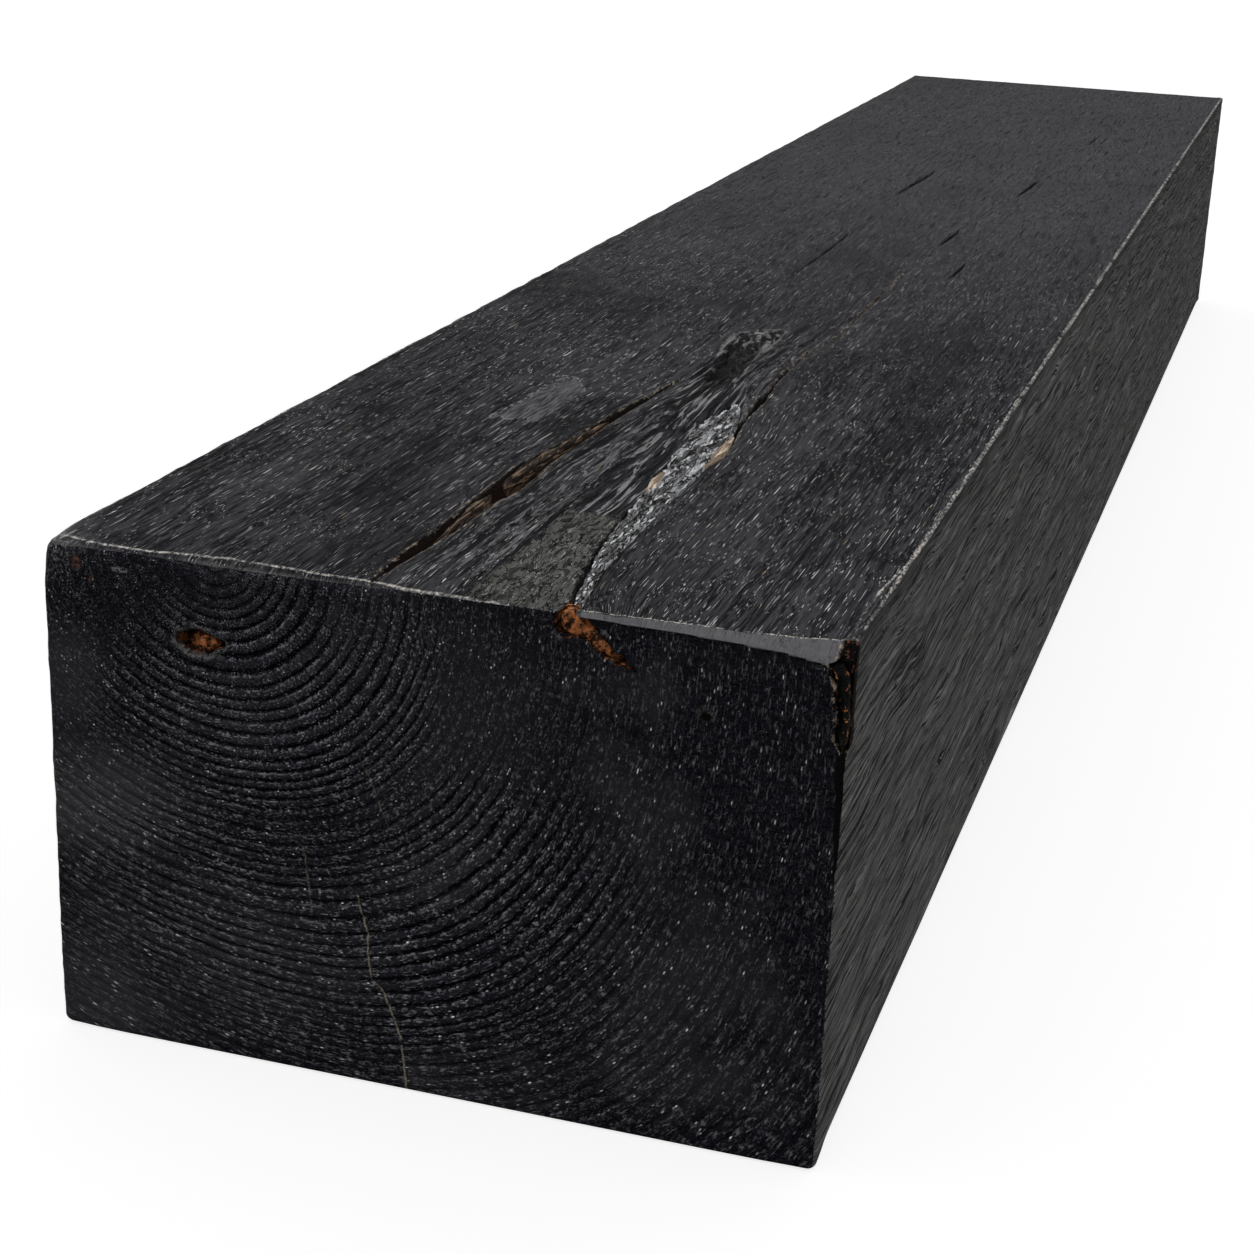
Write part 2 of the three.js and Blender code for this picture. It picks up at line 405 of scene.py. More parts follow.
def ring_number(across, up):
    """Counts the growth rings out from the pith. The lower ones are wider to the right."""
    below = PITH_UP - up
    aside = across - PITH_ACROSS - 0.0018 * below**2
    reach = np.hypot(aside, below)
    angle = np.arctan2(aside, below)
    plan = in_plane(across, up)
    waves = 1.6 * noise(plan, (60, 60, 1), seed=21) + 0.55 * noise(plan, (11, 11, 1), seed=22, octaves=3)
    uneven = 1.6 * np.sin(reach / 11.0) + 0.7 * np.sin(reach / 3.7 + 1.0)
    return (reach + waves + uneven) / RING_WIDTH, reach, angle


def ring_strength(reach, angle, plan):
    """How plainly the rings stand out: most under the pith, least in the left and outer corners."""
    turn = ramp(angle, -1.0, -0.2) * ramp(angle, 1.75, 1.1)
    outward = np.interp(reach, *RING_PLAINNESS.T)
    sideways = 1 - 0.75 * ramp(angle, 0.75, 1.15) * ramp(reach, 62, 70)
    patchy = 0.85 + 0.5 * noise(plan, (22, 22, 1), seed=23, octaves=2)
    return np.clip(turn * outward * sideways * patchy, 0.06, 1)


def far_check_stations(line, width):
    """A short check that is pointed at both ends: its [along, across, width] stations."""
    line = np.array(line)
    along = np.linspace(line[0, 0], line[-1, 0], 13)
    across = np.interp(along, line[:, 0], line[:, 1])
    return np.stack([along, across, width * np.sin(np.linspace(0.02, math.pi - 0.02, 13))], -1)


def scar_inside(across, along):
    """How far each point lies inside the branch scar, in mm."""
    left = smooth_line(along, SCAR, 1)
    right = smooth_line(along, SCAR, 2)
    return np.min([across - left, right - across, (SCAR[-1, 0] - along) / 2], axis=0)


def flake_inside(across, along):
    """1 in the middle of the shallow flake torn off the top beside the left check, 0 at its edge."""
    side = (across - 66 - 0.03 * (along - 176)) / 14.5
    up_it = (along - 177) / 62
    ragged = 0.45 * noise(in_plane(across, along), (2.6, 26, 1), seed=41, octaves=3)
    tip = 1 - up_it - 0.35 * np.abs(side - 0.3)
    return np.min([side * 3, (1 - side) * 3, up_it * 5, tip * 5], axis=0) + ragged


def top_shape(x, y, grain):
    """How far the top face is cut below its plane at each point, and its marks in mm inside each."""
    flow = in_plane(grain, y)
    plan = in_plane(x, y)
    brushed = 0.10 * noise(flow, (9, 130, 1), seed=5, octaves=2)
    brushed = brushed + 0.09 * noise(flow, (2.4, 45, 1), seed=6, octaves=2)
    ragged = 0.35 * noise(flow, (2.0, 22, 1), seed=7, octaves=2)
    left = check_inside(x, y, LEFT_CHECK) + ragged
    right = check_inside(x, y, RIGHT_CHECK) + 0.5 * ragged
    far = np.max([check_inside(x, y, far_check_stations(*check)) for check in FAR_CHECKS], axis=0)
    far = far + 0.6 * ragged
    depth = np.max([
        ramp(left, -0.2, 0.5) * np.clip(1.5 + 2.0 * left, 0, 7.5), ramp(right, -0.2, 0.4) * 4.5,
        ramp(far, -0.2, 0.5) * 2.6,
    ], axis=0)

    scar = scar_inside(x, y)
    rough = noise(plan, (4.0, 6.0, 1), seed=32, octaves=4)
    furrows = ridges(flow, (3.4, 52, 1), seed=31, octaves=3)
    barky = ramp(y, 100, 78) * ramp(x, 119, 124)
    deep = ramp(y, 30, 120) * ramp(y, 260, 200)
    woody_relief = 1.3 * (0.6 - furrows)
    barky_relief = 0.9 * rough + 0.5 * (0.4 - furrows)
    sunken = 0.5 + 1.5 * deep + (1 - barky) * woody_relief + barky * barky_relief
    depth = depth + ramp(scar, -0.8, 3.0) * sunken

    left_side = x - smooth_line(y, LEFT_CHECK, 1)
    right_side = smooth_line(y, RIGHT_CHECK, 1) - x
    furrowed = ramp(left_side, -1, 8) * ramp(right_side, -2, 6) * ramp(y, 4, 40) * ramp(y, 390, 300)
    depth = depth + 0.9 * furrowed * (0.55 - furrows) * ramp(scar, 1, -3)

    bark = -strip_distance(y, x, BARK) + 0.5 * rough
    depth = depth + 2.6 * ramp(bark, -0.6, 0.9)
    knot = -strip_distance(y, x, KNOT_HOLLOW) + 0.9 * noise(plan, (5, 9, 1), seed=33, octaves=3)
    depth = depth + 4.2 * ramp(knot, -0.5, 2.2) * (0.7 + 0.4 * furrows)
    depth = depth - 1.0 * np.exp(-(((knot + 1.3) / 0.9) ** 2)) * ramp(y, 285, 315) * (0.8 + 0.6 * rough)
    flake = flake_inside(x, y)
    depth = depth + 0.55 * ramp(flake, 0.0, 0.35) * (0.8 + 0.5 * (0.5 - furrows)) + brushed
    marks = {
        "left_check": left, "left_check_side": left_side, "right_check": right,
        "far_check": far, "scar": scar, "barky": barky, "bark": bark, "knot": knot, "flake": flake,
        "furrowed": furrowed,
    }
    return depth, marks


def lower_top(shaped, flat, x, y, top_fade):
    """Cuts the top face, and returns its marks."""
    across = flat[:, ACROSS]
    edge_fade = ramp(np.minimum(across, WIDTH - across), 0.5, 6)
    depth, marks = top_shape(x, y, across)
    bowed = 0.2 - 0.15 * noise(flat, (70, 260, 70), seed=1, octaves=2)
    shaped[:, UP] -= top_fade * edge_fade * (depth * ramp(y, -0.5, 2.5) + bowed)
    off_top = MARK_FALLOFF * (1 - top_fade)
    return {name: field - off_top for name, field in marks.items()}


def brush_sides(shaped, flat, y, z):
    """Brushes long shallow troughs into the long side faces."""
    across, along, up = flat.T
    sides = ramp(z, HEIGHT - 1, HEIGHT - 5) * ramp(np.minimum(across, WIDTH - across), 1.0, 0.2)
    sides = sides * ramp(np.minimum(up, HEIGHT - up), 0.5, 5)
    side_flow = np.stack([z + 0.05 * y, y, across], -1)
    trough = 0.14 * noise(side_flow, (9, 120, 9), seed=8, octaves=2)
    trough = trough + 0.12 * noise(side_flow, (2.6, 50, 9), seed=9)
    inward = np.where(across > WIDTH / 2, -1.0, 1.0)
    shaped[:, ACROSS] += inward * sides * (0.2 + trough)


def hew_facet(shaped, flat, x):
    """Hews the facet on the near top arris. Returns its mark and its set back along the top."""
    drop = np.interp(x, FACET[:, 0], FACET[:, 2])
    reach = np.interp(x, *FACET[:, :2].T)
    reach = reach * (1 + 0.12 * noise(flat, (5, 50, 50), seed=11, octaves=3))
    hewn = x > FACET[0, 0]
    inward, down = plane_off(shaped[:, ALONG], HEIGHT - shaped[:, UP], reach, drop)
    shaped[:, ALONG] += inward * hewn
    shaped[:, UP] -= down * hewn
    return hewn * ramp(inward + down, 0.02, 0.12), reach


def plane_strip(shaped, z):
    """Planes the strip off the right-hand near arris, and returns its mark."""
    width = np.interp(z, *PLANED_STRIP.T)
    inward, sideways = plane_off(shaped[:, ALONG], WIDTH - shaped[:, ACROSS], 0.8 * width, width)
    stripped = z > PLANED_STRIP[0, 0]
    shaped[:, ALONG] += inward * stripped
    shaped[:, ACROSS] -= sideways * stripped
    return stripped * ramp(inward + sideways, 0.02, 0.12)


def brush_rings(shaped, flat, plan, number, strength, still_flat):
    """Brushes the near end's soft early wood out between its rings, where it is still flat."""
    across, along, up = flat.T
    phase = number % 1.0
    groove = ramp(phase, 0.0, 0.12) * ramp(phase, 0.5, 0.24)
    rough_end = 0.13 * noise(plan, (1.8, 1.8, 1), seed=24, octaves=2)
    rough_end = rough_end + 0.25 * noise(plan, (30, 30, 1), seed=25)
    off_rim = ramp(np.min([across, WIDTH - across, up, HEIGHT - up], axis=0), -0.5, 2.5)
    end_depth = 0.35 + off_rim * (0.65 * strength * groove + rough_end)
    shaped[:, ALONG] += still_flat * end_depth


def sink_hollows(shaped, x, y, z, end_fade):
    """Sinks the knot hole, the pocket and the broken corner into the near end. Returns their marks."""
    ragged = noise(in_plane(x, z), (2.6, 2.6, 1), seed=51, octaves=3)
    hole = -strip_distance(x, z, END_KNOT) + 0.9 * ragged
    pocket = -strip_distance(x, z, POCKET) + 1.3 * ragged
    corner = -strip_distance(x, z, CORNER_HOLE) + 0.9 * ragged
    for inside, deepest, sinking in ((hole, 7.5, 9), (pocket, 7.0, 12), (corner, 5.0, 8)):
        shaped[:, ALONG] += deepest * ramp(inside, -0.2, 0.7) * np.clip(1 - y / sinking, 0, 1)
    raised_lip = 0.45 * np.exp(-(((hole + 1.2) / 0.8) ** 2))
    shaped[:, ALONG] -= raised_lip * end_fade
    return {"hole": hole, "pocket": pocket, "corner": corner}


def line_marks(x, y, reach, top_fade):
    """Marks that pass through zero along the worn lines of the top, beside its arrises, where wear and
    painted highlights are laid.
    """
    never = FAR_AWAY * (1 - top_fade)
    return {
        "near_line": y - np.interp(x, *NEAR_TOP_ROUNDING.T) - never - FAR_AWAY * (x > 136),
        "facet_line": y - reach - never + FAR_AWAY * (x < 150),
        "right_line": WIDTH - x - 0.9 - never,
        "inner_line": WIDTH - x - 3.6 * ramp(y, 100, 40) - never,
        "left_line": x - 1.6 - never,
    }


def shape_block(flat):
    """Moves the flat block's points to the worn, brushed and checked timber.

    Returns the shaped points and the marks that the materials read at each point. Most marks are
    distances in mm inside a feature, negative outside it.
    """
    across, along, up = flat.T
    under_top = ramp(HEIGHT - up, 30, 2)
    shift = grain_shift(across, along) * under_top * ramp(np.minimum(across, WIDTH - across), 0, 20)
    shaped = round_arrises(flat)
    shaped[:, ACROSS] += shift
    x, y, z = shaped.T.copy()
    top_fade = ramp(z, HEIGHT - 7, HEIGHT - 0.6)
    end_fade = ramp(y, 5, 0.4)
    off_end = MARK_FALLOFF * ramp(y, 9, 12)

    marks = lower_top(shaped, flat, x, y, top_fade)
    brush_sides(shaped, flat, y, z)
    facet, reach = hew_facet(shaped, flat, x)
    planed = plane_strip(shaped, z)
    number, ring_reach, ring_angle = ring_number(x, z)
    plan = in_plane(x, z)
    strength = ring_strength(ring_reach, ring_angle, plan)
    brush_rings(shaped, flat, plan, number, strength, end_fade * (1 - facet) * (1 - planed))
    for name, hollow in sink_hollows(shaped, x, y, z, end_fade).items():
        marks[name] = hollow - off_end
    shaped = np.clip(shaped, 0, SIZE)

    marks.update(line_marks(x, y, reach, top_fade))
    for name, line in HAIRLINE_PLACES.items():
        marks[name] = x - np.interp(z, *line.T) + off_end
    marks.update({
        "side": ramp(HEIGHT - z, 0.4, 2.0),
        "facet": facet,
        "strip": planed,
        "worn_corner": 15.0 - np.linalg.norm(flat - [0, 0, HEIGHT], axis=1),
        "ringed": strength,
    })
    vectors = {
        "grain": flat,
        "rings": np.stack([number, ring_angle * 110, ring_reach], -1),
    }
    return shaped, marks, vectors


# --- Meshes -----------------------------------------------------------------------------------------

# Where each face lies in the texture map: (left, bottom, width, height), and whether it is turned.
MAP_PLACES = {
    (UP, 1): (0.005, 0.005, 0.99, 0.27, True),
    (ACROSS, 1): (0.005, 0.285, 0.99, 0.13, False),
    (ACROSS, 0): (0.005, 0.425, 0.99, 0.10, False),
    (UP, 0): (0.005, 0.535, 0.99, 0.09, True),
    (ALONG, 0): (0.005, 0.635, 0.54, 0.355, False),
    (ALONG, 1): (0.555, 0.635, 0.30, 0.20, False),
}


def to_frame(points):
    """Timber millimetres to metres in the row frame."""
    return (points + LOW) * MM


def new_object(name, points, polygons, smooth=True):
    mesh = bpy.data.meshes.new(name)
    mesh.from_pydata(points.tolist(), [], [polygon.tolist() for polygon in polygons])
    mesh.polygons.foreach_set("use_smooth", [smooth] * len(mesh.polygons))
    mesh.update()
    thing = bpy.data.objects.new(name, mesh)
    bpy.context.scene.collection.objects.link(thing)
    return thing


def store(thing, values, kind):
    """Stores one number or one vector a point, for the materials to read by name."""
    for name, value in values.items():
        attribute = thing.data.attributes.new(name, kind, "POINT")
        field = "value" if kind == "FLOAT" else "vector"
        attribute.data.foreach_set(field, value.astype(np.float32).ravel())


def lay_out_map(thing, flat, face_names):
    """The texture map: each face of the block is laid out flat in its own rectangle."""
    layer = thing.data.uv_layers.new(name="OFBake")
    loops = np.zeros(len(thing.data.loops), int)
    thing.data.loops.foreach_get("vertex_index", loops)
    sizes = np.zeros(len(thing.data.polygons), int)
    thing.data.polygons.foreach_get("loop_total", sizes)
    uv = np.zeros((len(loops), 2))
    face_of_loop = np.repeat(np.arange(len(sizes)), sizes)
    names = np.array(face_names)[face_of_loop]
    for (axis, side), (left, bottom, width, height, turned) in MAP_PLACES.items():
        chosen = (names[:, 0] == axis) & (names[:, 1] == side)
        a, b = [other for other in (ACROSS, ALONG, UP) if other != axis]
        if turned:
            a, b = b, a
        share = flat[loops[chosen]] / SIZE
        uv[chosen, 0] = left + width * share[:, a]
        uv[chosen, 1] = bottom + height * share[:, b]
    layer.data.foreach_set("uv", uv.ravel())


def timber_body():
    block = build_block()
    flat = block.points
    shaped, marks, vectors = shape_block(flat)
    polygons = [polygon for group in block.polygons for polygon in group]
    body = new_object("timber", to_frame(shaped), polygons)
    store(body, marks, "FLOAT")
    store(body, vectors, "FLOAT_VECTOR")
    lay_out_map(body, flat, block.face_names)
    body.data.materials.append(brushed_face())
    body.data.materials.append(end_grain())
    is_end = [int(axis == ALONG) for axis, side in block.face_names]
    body.data.polygons.foreach_set("material_index", is_end)
    return body


# --- Materials --------------------------------------------------------------------------------------

BLACK = (0.0045, 0.0045, 0.005)
SOOT = (0.0085, 0.0085, 0.0095)
ASH = (0.055, 0.056, 0.062)
PALE_GREY = (0.60, 0.585, 0.56)
TAN = (0.40, 0.29, 0.17)
RUST = (0.36, 0.125, 0.045)
DARK_BROWN = (0.022, 0.011, 0.007)


class Shader:
    """A material that is painted layer over layer, with short calls that add and join its nodes.

    Place is a point of the surface in mm in the row frame. Sizes of noise are in features per mm,
    across the grain and along it.
    """

    def __init__(self, name):
        self.material = bpy.data.materials.new(name)
        self.material.use_nodes = True
        self.tree = self.material.node_tree
        self.surface = self.tree.nodes["Principled BSDF"]
        in_metres = self.node("ShaderNodeTexCoord").outputs["Object"]
        self.place = self.stretch(in_metres, (1 / MM, 1 / MM, 1 / MM))

    def node(self, kind, inputs=None, **settings):
        node = self.tree.nodes.new(kind)
        for key, value in settings.items():
            setattr(node, key, value)
        for key, value in (inputs or {}).items():
            self.feed(node.inputs[key], value)
        return node

    def feed(self, socket, value):
        if isinstance(value, bpy.types.NodeSocket):
            self.tree.links.new(value, socket)
        else:
            socket.default_value = value

    def mark(self, name):
        return self.node("ShaderNodeAttribute", attribute_name=name).outputs["Fac"]

    def vector(self, name):
        return self.node("ShaderNodeAttribute", attribute_name=name).outputs["Vector"]

    def parts(self, vector):
        return self.node("ShaderNodeSeparateXYZ", {0: vector}).outputs

    def stretch(self, vector, amount):
        return self.node("ShaderNodeVectorMath", {0: vector, 1: amount}, operation="MULTIPLY").outputs[0]

    def shift(self, vector, amount):
        return self.node("ShaderNodeVectorMath", {0: vector, 1: amount}, operation="ADD").outputs[0]

    def math(self, operation, first, second=0.0):
        return self.node("ShaderNodeMath", {0: first, 1: second}, operation=operation).outputs[0]

    def chain(self, operation, values):
        total = values[0]
        for value in values[1:]:
            total = self.math(operation, total, value)
        return total

    def times(self, *values):
        return self.chain("MULTIPLY", values)

    def plus(self, *values):
        return self.chain("ADD", values)

    def most(self, *values):
        return self.chain("MAXIMUM", values)

    def minus(self, first, second):
        return self.math("SUBTRACT", first, second)

    def remap(self, value, low, high, to_low=0.0, to_high=1.0):
        """Eases from one result to the other as the value goes from low to high."""
        inputs = {"Value": value, "From Min": low, "From Max": high, "To Min": to_low, "To Max": to_high}
        return self.node("ShaderNodeMapRange", inputs, interpolation_type="SMOOTHSTEP").outputs[0]

    def past(self, start, end, to_low=0.0, to_high=1.0):
        """Eases from one result to the other between two distances from the near end, in mm."""
        along = self.parts(self.place)[ALONG]
        return self.remap(along, LOW[ALONG] + start, LOW[ALONG] + end, to_low, to_high)

    def noise(self, vector, across, along=None, detail=3.0, roughness=0.55, distortion=0.0):
        """Noise from 0 to 1, the same size in all directions when no size along the grain is given."""
        stretched = self.stretch(vector, (across, along or across, across))
        inputs = {
            "Vector": stretched, "Scale": 1.0, "Detail": detail, "Roughness": roughness,
            "Distortion": distortion,
        }
        return self.node("ShaderNodeTexNoise", inputs).outputs["Fac"]

    def fray_outlines(self, across, along):
        """Makes the fine noise, from -0.5 to 0.5, that frays the outlines of the marks."""
        self.wander = self.minus(self.noise(self.place, across, along, detail=4.0, roughness=0.65), 0.5)

    def frayed(self, name, fray, *offset):
        return self.plus(self.mark(name), *offset, self.times(self.wander, fray))

    def inside(self, name, fray, low, high):
        """Where a distance mark, frayed, is above a level: 0 at low and 1 at high."""
        return self.remap(self.frayed(name, fray), low, high)

    def outline(self, name, fray, half_width, core, *offset):
        """A line where a distance mark, frayed and offset, passes through zero. Its core is plain."""
        return self.remap(self.math("ABSOLUTE", self.frayed(name, fray, *offset)), half_width, core)

    def flecks(self, vector, size, share):
        """Small separate flecks, one to a cell, in a share of the cells and of uneven brightness."""
        cells = self.node("ShaderNodeTexVoronoi", {"Vector": vector, "Scale": 1.0, "Randomness": 1.0})
        chance = self.node("ShaderNodeSeparateColor", {0: cells.outputs["Color"]}).outputs[0]
        inside = self.remap(cells.outputs["Distance"], size, 0.45 * size)
        return self.times(inside, self.remap(chance, 1 - share, 1.0))

    def mix(self, factor, first, second):
        mixer = self.node("ShaderNodeMix", data_type="RGBA", clamp_factor=True)
        self.feed(mixer.inputs["Factor"], factor)
        for socket, value in ((mixer.inputs[6], first), (mixer.inputs[7], second)):
            self.feed(socket, value if isinstance(value, bpy.types.NodeSocket) else (*value, 1.0))
        return mixer.outputs[2]

    def paint(self, mask, color):
        """Lays a colour over the ones already there, where the mask is 1."""
        self.color = self.mix(mask, self.color, color)

    def lift(self, *amounts):
        self.height = self.plus(self.height, *amounts)

    def finish(self, roughness, relief, specular):
        """Joins the colour, roughness and bump. Relief is the bump's full height in millimetres."""
        inputs = {"Height": self.height, "Distance": relief * MM, "Strength": 1.0}
        bump = self.node("ShaderNodeBump", inputs)
        self.feed(self.surface.inputs["Base Color"], self.color)
        self.feed(self.surface.inputs["Roughness"], roughness)
        self.feed(self.surface.inputs["Normal"], bump.outputs[0])
        self.surface.inputs["Specular IOR Level"].default_value = specular
        return self.material


def streaks(s, vector, across, along, low, high, detail=2.0):
    """Uneven streaks along the grain: noise drawn out to given sizes in mm, cut between two levels."""
    return s.remap(s.noise(vector, 1 / across, 1 / along, detail, roughness=0.5), low, high)


def contour(s, value, half_width):
    """A thin line, 1 where a noise value passes through its middle."""
    return s.remap(s.math("ABSOLUTE", s.minus(value, 0.5)), half_width, 0.3 * half_width)


def side_crack(s, near, far):
    """A broken dark crack on the right side face, between two points given as mm along and up."""
    parts = s.parts(s.place)
    along = s.minus(parts[ALONG], LOW[ALONG] + near[0])
    length = far[0] - near[0]
    slope = (far[1] - near[1]) / length
    line = s.plus(near[1], s.times(along, slope), s.times(s.wander, 9.0))
    aside = s.math("ABSOLUTE", s.minus(parts[UP], line))
    ends = s.times(s.remap(along, 0, 3), s.remap(along, length, length - 12))
    return s.times(s.remap(aside, 0.65, 0.25), ends, s.remap(s.wander, -0.085, -0.045))


def swaying_grain(s):
    """The grain with a slow sway up, down and sideways, so that its lines are never quite straight."""
    sway = s.noise(s.stretch(s.place, (0.05, 0.013, 0.06)), 1.0, detail=2.0, roughness=0.5)
    aside = s.node("ShaderNodeCombineXYZ", {0: s.times(sway, 3.0), 2: s.times(sway, 14.0)}).outputs[0]
    return s.shift(s.vector("grain"), aside)


# Families of thin cracks on the side faces: (width, length, level of the noise, offset).
CRACK_FAMILIES = ((0.85, 44, 0.405, 0.0), (0.55, 24, 0.405, 55.0), (1.5, 90, 0.375, 140.0))


def side_cracks(s, grain):
    """Long, thin, tapering dark cracks along the grain of the side faces."""
    total = 0.0
    for width, length, level, offset in CRACK_FAMILIES:
        moved = s.shift(grain, (offset, offset, offset))
        total = s.most(total, streaks(s, moved, width, length, level, level - 0.016, detail=3.0))
    for near, far in SIDE_CRACKS:
        total = s.most(total, side_crack(s, near, far))
    return total


def rotten_color(s):
    """Crumbly rust-brown wood: orange-brown crumbs, dark pits and a few pale fibres."""
    lumps = s.noise(s.place, 0.55, detail=2.0)
    crumbs = s.noise(s.place, 1.4, detail=4.0, roughness=0.7)
    both = s.plus(s.times(lumps, 0.6), s.times(crumbs, 0.4))
    color = s.mix(s.remap(both, 0.44, 0.56), DARK_BROWN, RUST)
    return s.mix(s.remap(crumbs, 0.60, 0.72), color, (0.55, 0.30, 0.15)), both


def worn_and_highlit_lines(s, widths):
    """Narrow bruised lines, light and broken, where named distance marks pass through zero: partly wear and
    partly painted highlights where the rounded arrises catch the light.
    """
    fine = s.noise(s.place, 1.2, 0.5, roughness=0.65)
    patchy = s.remap(s.noise(s.place, 0.11, 0.05, roughness=0.7), 0.32, 0.50)
    bruise_and_highlight = s.mix(s.remap(fine, 0.48, 0.60), (0.19, 0.19, 0.195), (0.50, 0.46, 0.40))
    for name, width in widths.items():
        line = s.outline(name, 1.8, width, 0.4 * width)
        # Partly painted highlight: a light line along each arris, partly wear.
        s.paint(s.times(line, s.remap(fine, 0.38, 0.48), patchy, 0.9), bruise_and_highlight)


def brushed_face():
    """The long faces: brushed, stained side grain that flows round the scar."""
    s = Shader("brushed_face")
    s.fray_outlines(0.9, 0.35)
    grain = swaying_grain(s)
    fibre = s.noise(grain, 2.2, 0.07, detail=4.0, roughness=0.65)
    coarse = s.noise(grain, 0.62, 0.016, roughness=0.6)
    threads = s.plus(s.times(fibre, 0.55), s.times(coarse, 0.45))
    clouds = s.noise(grain, 0.022, 0.010, roughness=0.6)
    far = s.past(180, 800)
    stained_grain_and_painted_light(s, grain, threads, clouds, far)
    slits_and_dashes(s, grain, threads, clouds, far)
    furrow_color(s, grain, fibre)
    scar_color(s, grain)
    torn_flake(s, fibre)
    lines = {"near_line": 1.0, "facet_line": 0.5, "right_line": 0.75, "inner_line": 0.5, "left_line": 0.8}
    worn_and_highlit_lines(s, lines)
    corner = s.times(s.remap(s.mark("worn_corner"), 0, 10), s.remap(s.wander, -0.05, 0.15))
    s.paint(s.times(corner, 0.8), (0.20, 0.20, 0.20))
    facet_color(s, s.noise(s.place, 0.5, detail=4.0))
    check_colors(s)
    hollow_colors(s)
    return s.finish(s.remap(fibre, 0.3, 0.7, 0.78, 0.62), relief=0.55, specular=0.03)


def stained_grain_and_painted_light(s, grain, threads, clouds, far):
    """Nearly black threads with greyer bands and clouds. The far part is painted lighter as a painted sheen,
    and the side faces and base are painted much lighter than the top as painted light.
    """
    bands = s.noise(grain, 0.16, 0.005)
    s.color = s.mix(s.remap(threads, 0.44, 0.56), (0.0055, 0.0055, 0.0065), (0.039, 0.039, 0.0435))
    s.paint(s.remap(bands, 0.52, 0.68, 0.0, 0.35), ASH)
    s.paint(s.remap(clouds, 0.50, 0.66, 0.0, 0.30), ASH)
    s.paint(s.remap(clouds, 0.48, 0.36, 0.0, 0.65), SOOT)
    # Painted sheen: the top is painted lighter towards the far end, where it catches the light from behind.
    s.paint(s.times(far, 0.70), (0.054, 0.054, 0.058))
    wisps = streaks(s, s.shift(grain, (17.0, 5.0, 63.0)), 0.55, 26, 0.60, 0.63)
    # Painted light: the side faces and the base get a colour three to four times lighter than the top's,
    # standing for the light they catch.
    side_color_with_painted_light = s.mix(s.remap(threads, 0.42, 0.58), (0.145, 0.145, 0.141), (0.200, 0.200, 0.196))
    s.paint(s.mark("side"), s.mix(s.times(wisps, 0.6), side_color_with_painted_light, (0.34, 0.34, 0.335)))


def slits_and_dashes(s, grain, threads, clouds, far):
    """Dark slits between the threads and short light dashes on them: fewer far along and on the sides. The
    grey and pale dashes are partly dust and partly painted glints of the brushed fibres.
    """
    side = s.mark("side")
    slits = s.most(streaks(s, grain, 1.0, 30, 0.40, 0.36), streaks(s, grain, 0.55, 10, 0.38, 0.34))
    slits = s.most(s.times(slits, s.remap(side, 0, 1, 0.8, 0.2)), s.times(side_cracks(s, grain), side))
    busy = s.times(
        s.remap(clouds, 0.35, 0.60, 0.45, 1.0), s.remap(side, 0, 1, 1.0, 0.25), s.remap(far, 0, 1, 1.0, 0.25),
    )
    shifted = s.shift(grain, (31.0, 70.0, 11.0))
    tan_shifted = s.shift(grain, (83.0, 20.0, 47.0))
    dashes = s.times(streaks(s, grain, 0.36, 13.0, 0.685, 0.715, detail=1.0), busy)
    long_dashes = s.times(streaks(s, shifted, 0.38, 30, 0.705, 0.730, detail=1.0), busy)
    tan_dashes = s.times(streaks(s, tan_shifted, 0.45, 13, 0.765, 0.780, detail=1.0), busy)
    s.paint(s.times(slits, 0.9), BLACK)
    # Partly painted glints: the grey and pale grey dashes stand partly for dust and partly for glints of
    # light on the brushed fibres.
    s.paint(s.times(dashes, 0.95), (0.40, 0.40, 0.41))
    s.paint(long_dashes, PALE_GREY)
    s.paint(s.times(tan_dashes, 0.8), TAN)
    s.height = s.times(threads, s.remap(side, 0, 1, 0.9, 0.5))
    s.lift(s.times(s.most(dashes, long_dashes), 0.35), s.times(slits, -0.9))


def furrow_color(s, grain, fibre):
    """Painted shade in the dark furrows and painted highlights on the light crests, between the checks."""
    furrowed = s.mark("furrowed")
    ridged = s.noise(grain, 0.42, 0.010, detail=4.0, roughness=0.6)
    # Painted shade: the furrows are painted nearly black.
    s.paint(s.times(furrowed, s.remap(ridged, 0.47, 0.44), 0.85), (0.006, 0.006, 0.007))
    # Painted highlight: thin light lines on the crests.
    crest = s.most(contour(s, ridged, 0.011), s.times(s.remap(ridged, 0.56, 0.58), 0.45))
    s.paint(s.times(furrowed, crest, s.remap(fibre, 0.46, 0.51), 0.85), (0.24, 0.24, 0.245))
    s.lift(s.times(furrowed, ridged, 2.5))


def torn_flake(s, fibre):
    """The shallow flake torn off beside the left check, with its ragged edge."""
    torn = s.mix(s.remap(fibre, 0.4, 0.6), (0.025, 0.025, 0.027), (0.13, 0.13, 0.137))
    edge = s.mix(s.remap(s.wander, -0.04, 0.04), BLACK, (0.20, 0.20, 0.21))
    s.paint(s.times(s.inside("flake", 0.3, 0.0, 0.15), 0.75), torn)
    s.paint(s.times(s.outline("flake", 0.5, 0.12, 0.04), 0.8), edge)


def facet_color(s, fibre):
    """The grey hewn facet, and the planed strip painted black as painted shade, standing for the dark shadow
    line along the near right arris.
    """
    hewn = s.mix(s.remap(fibre, 0.30, 0.70), (0.080, 0.080, 0.086), (0.100, 0.100, 0.107))
    s.paint(s.remap(s.mark("facet"), 0.35, 0.65), hewn)
    # Painted shade: the planed strip is painted black like a shadow line.
    s.paint(s.remap(s.mark("strip"), 0.35, 0.65), BLACK)


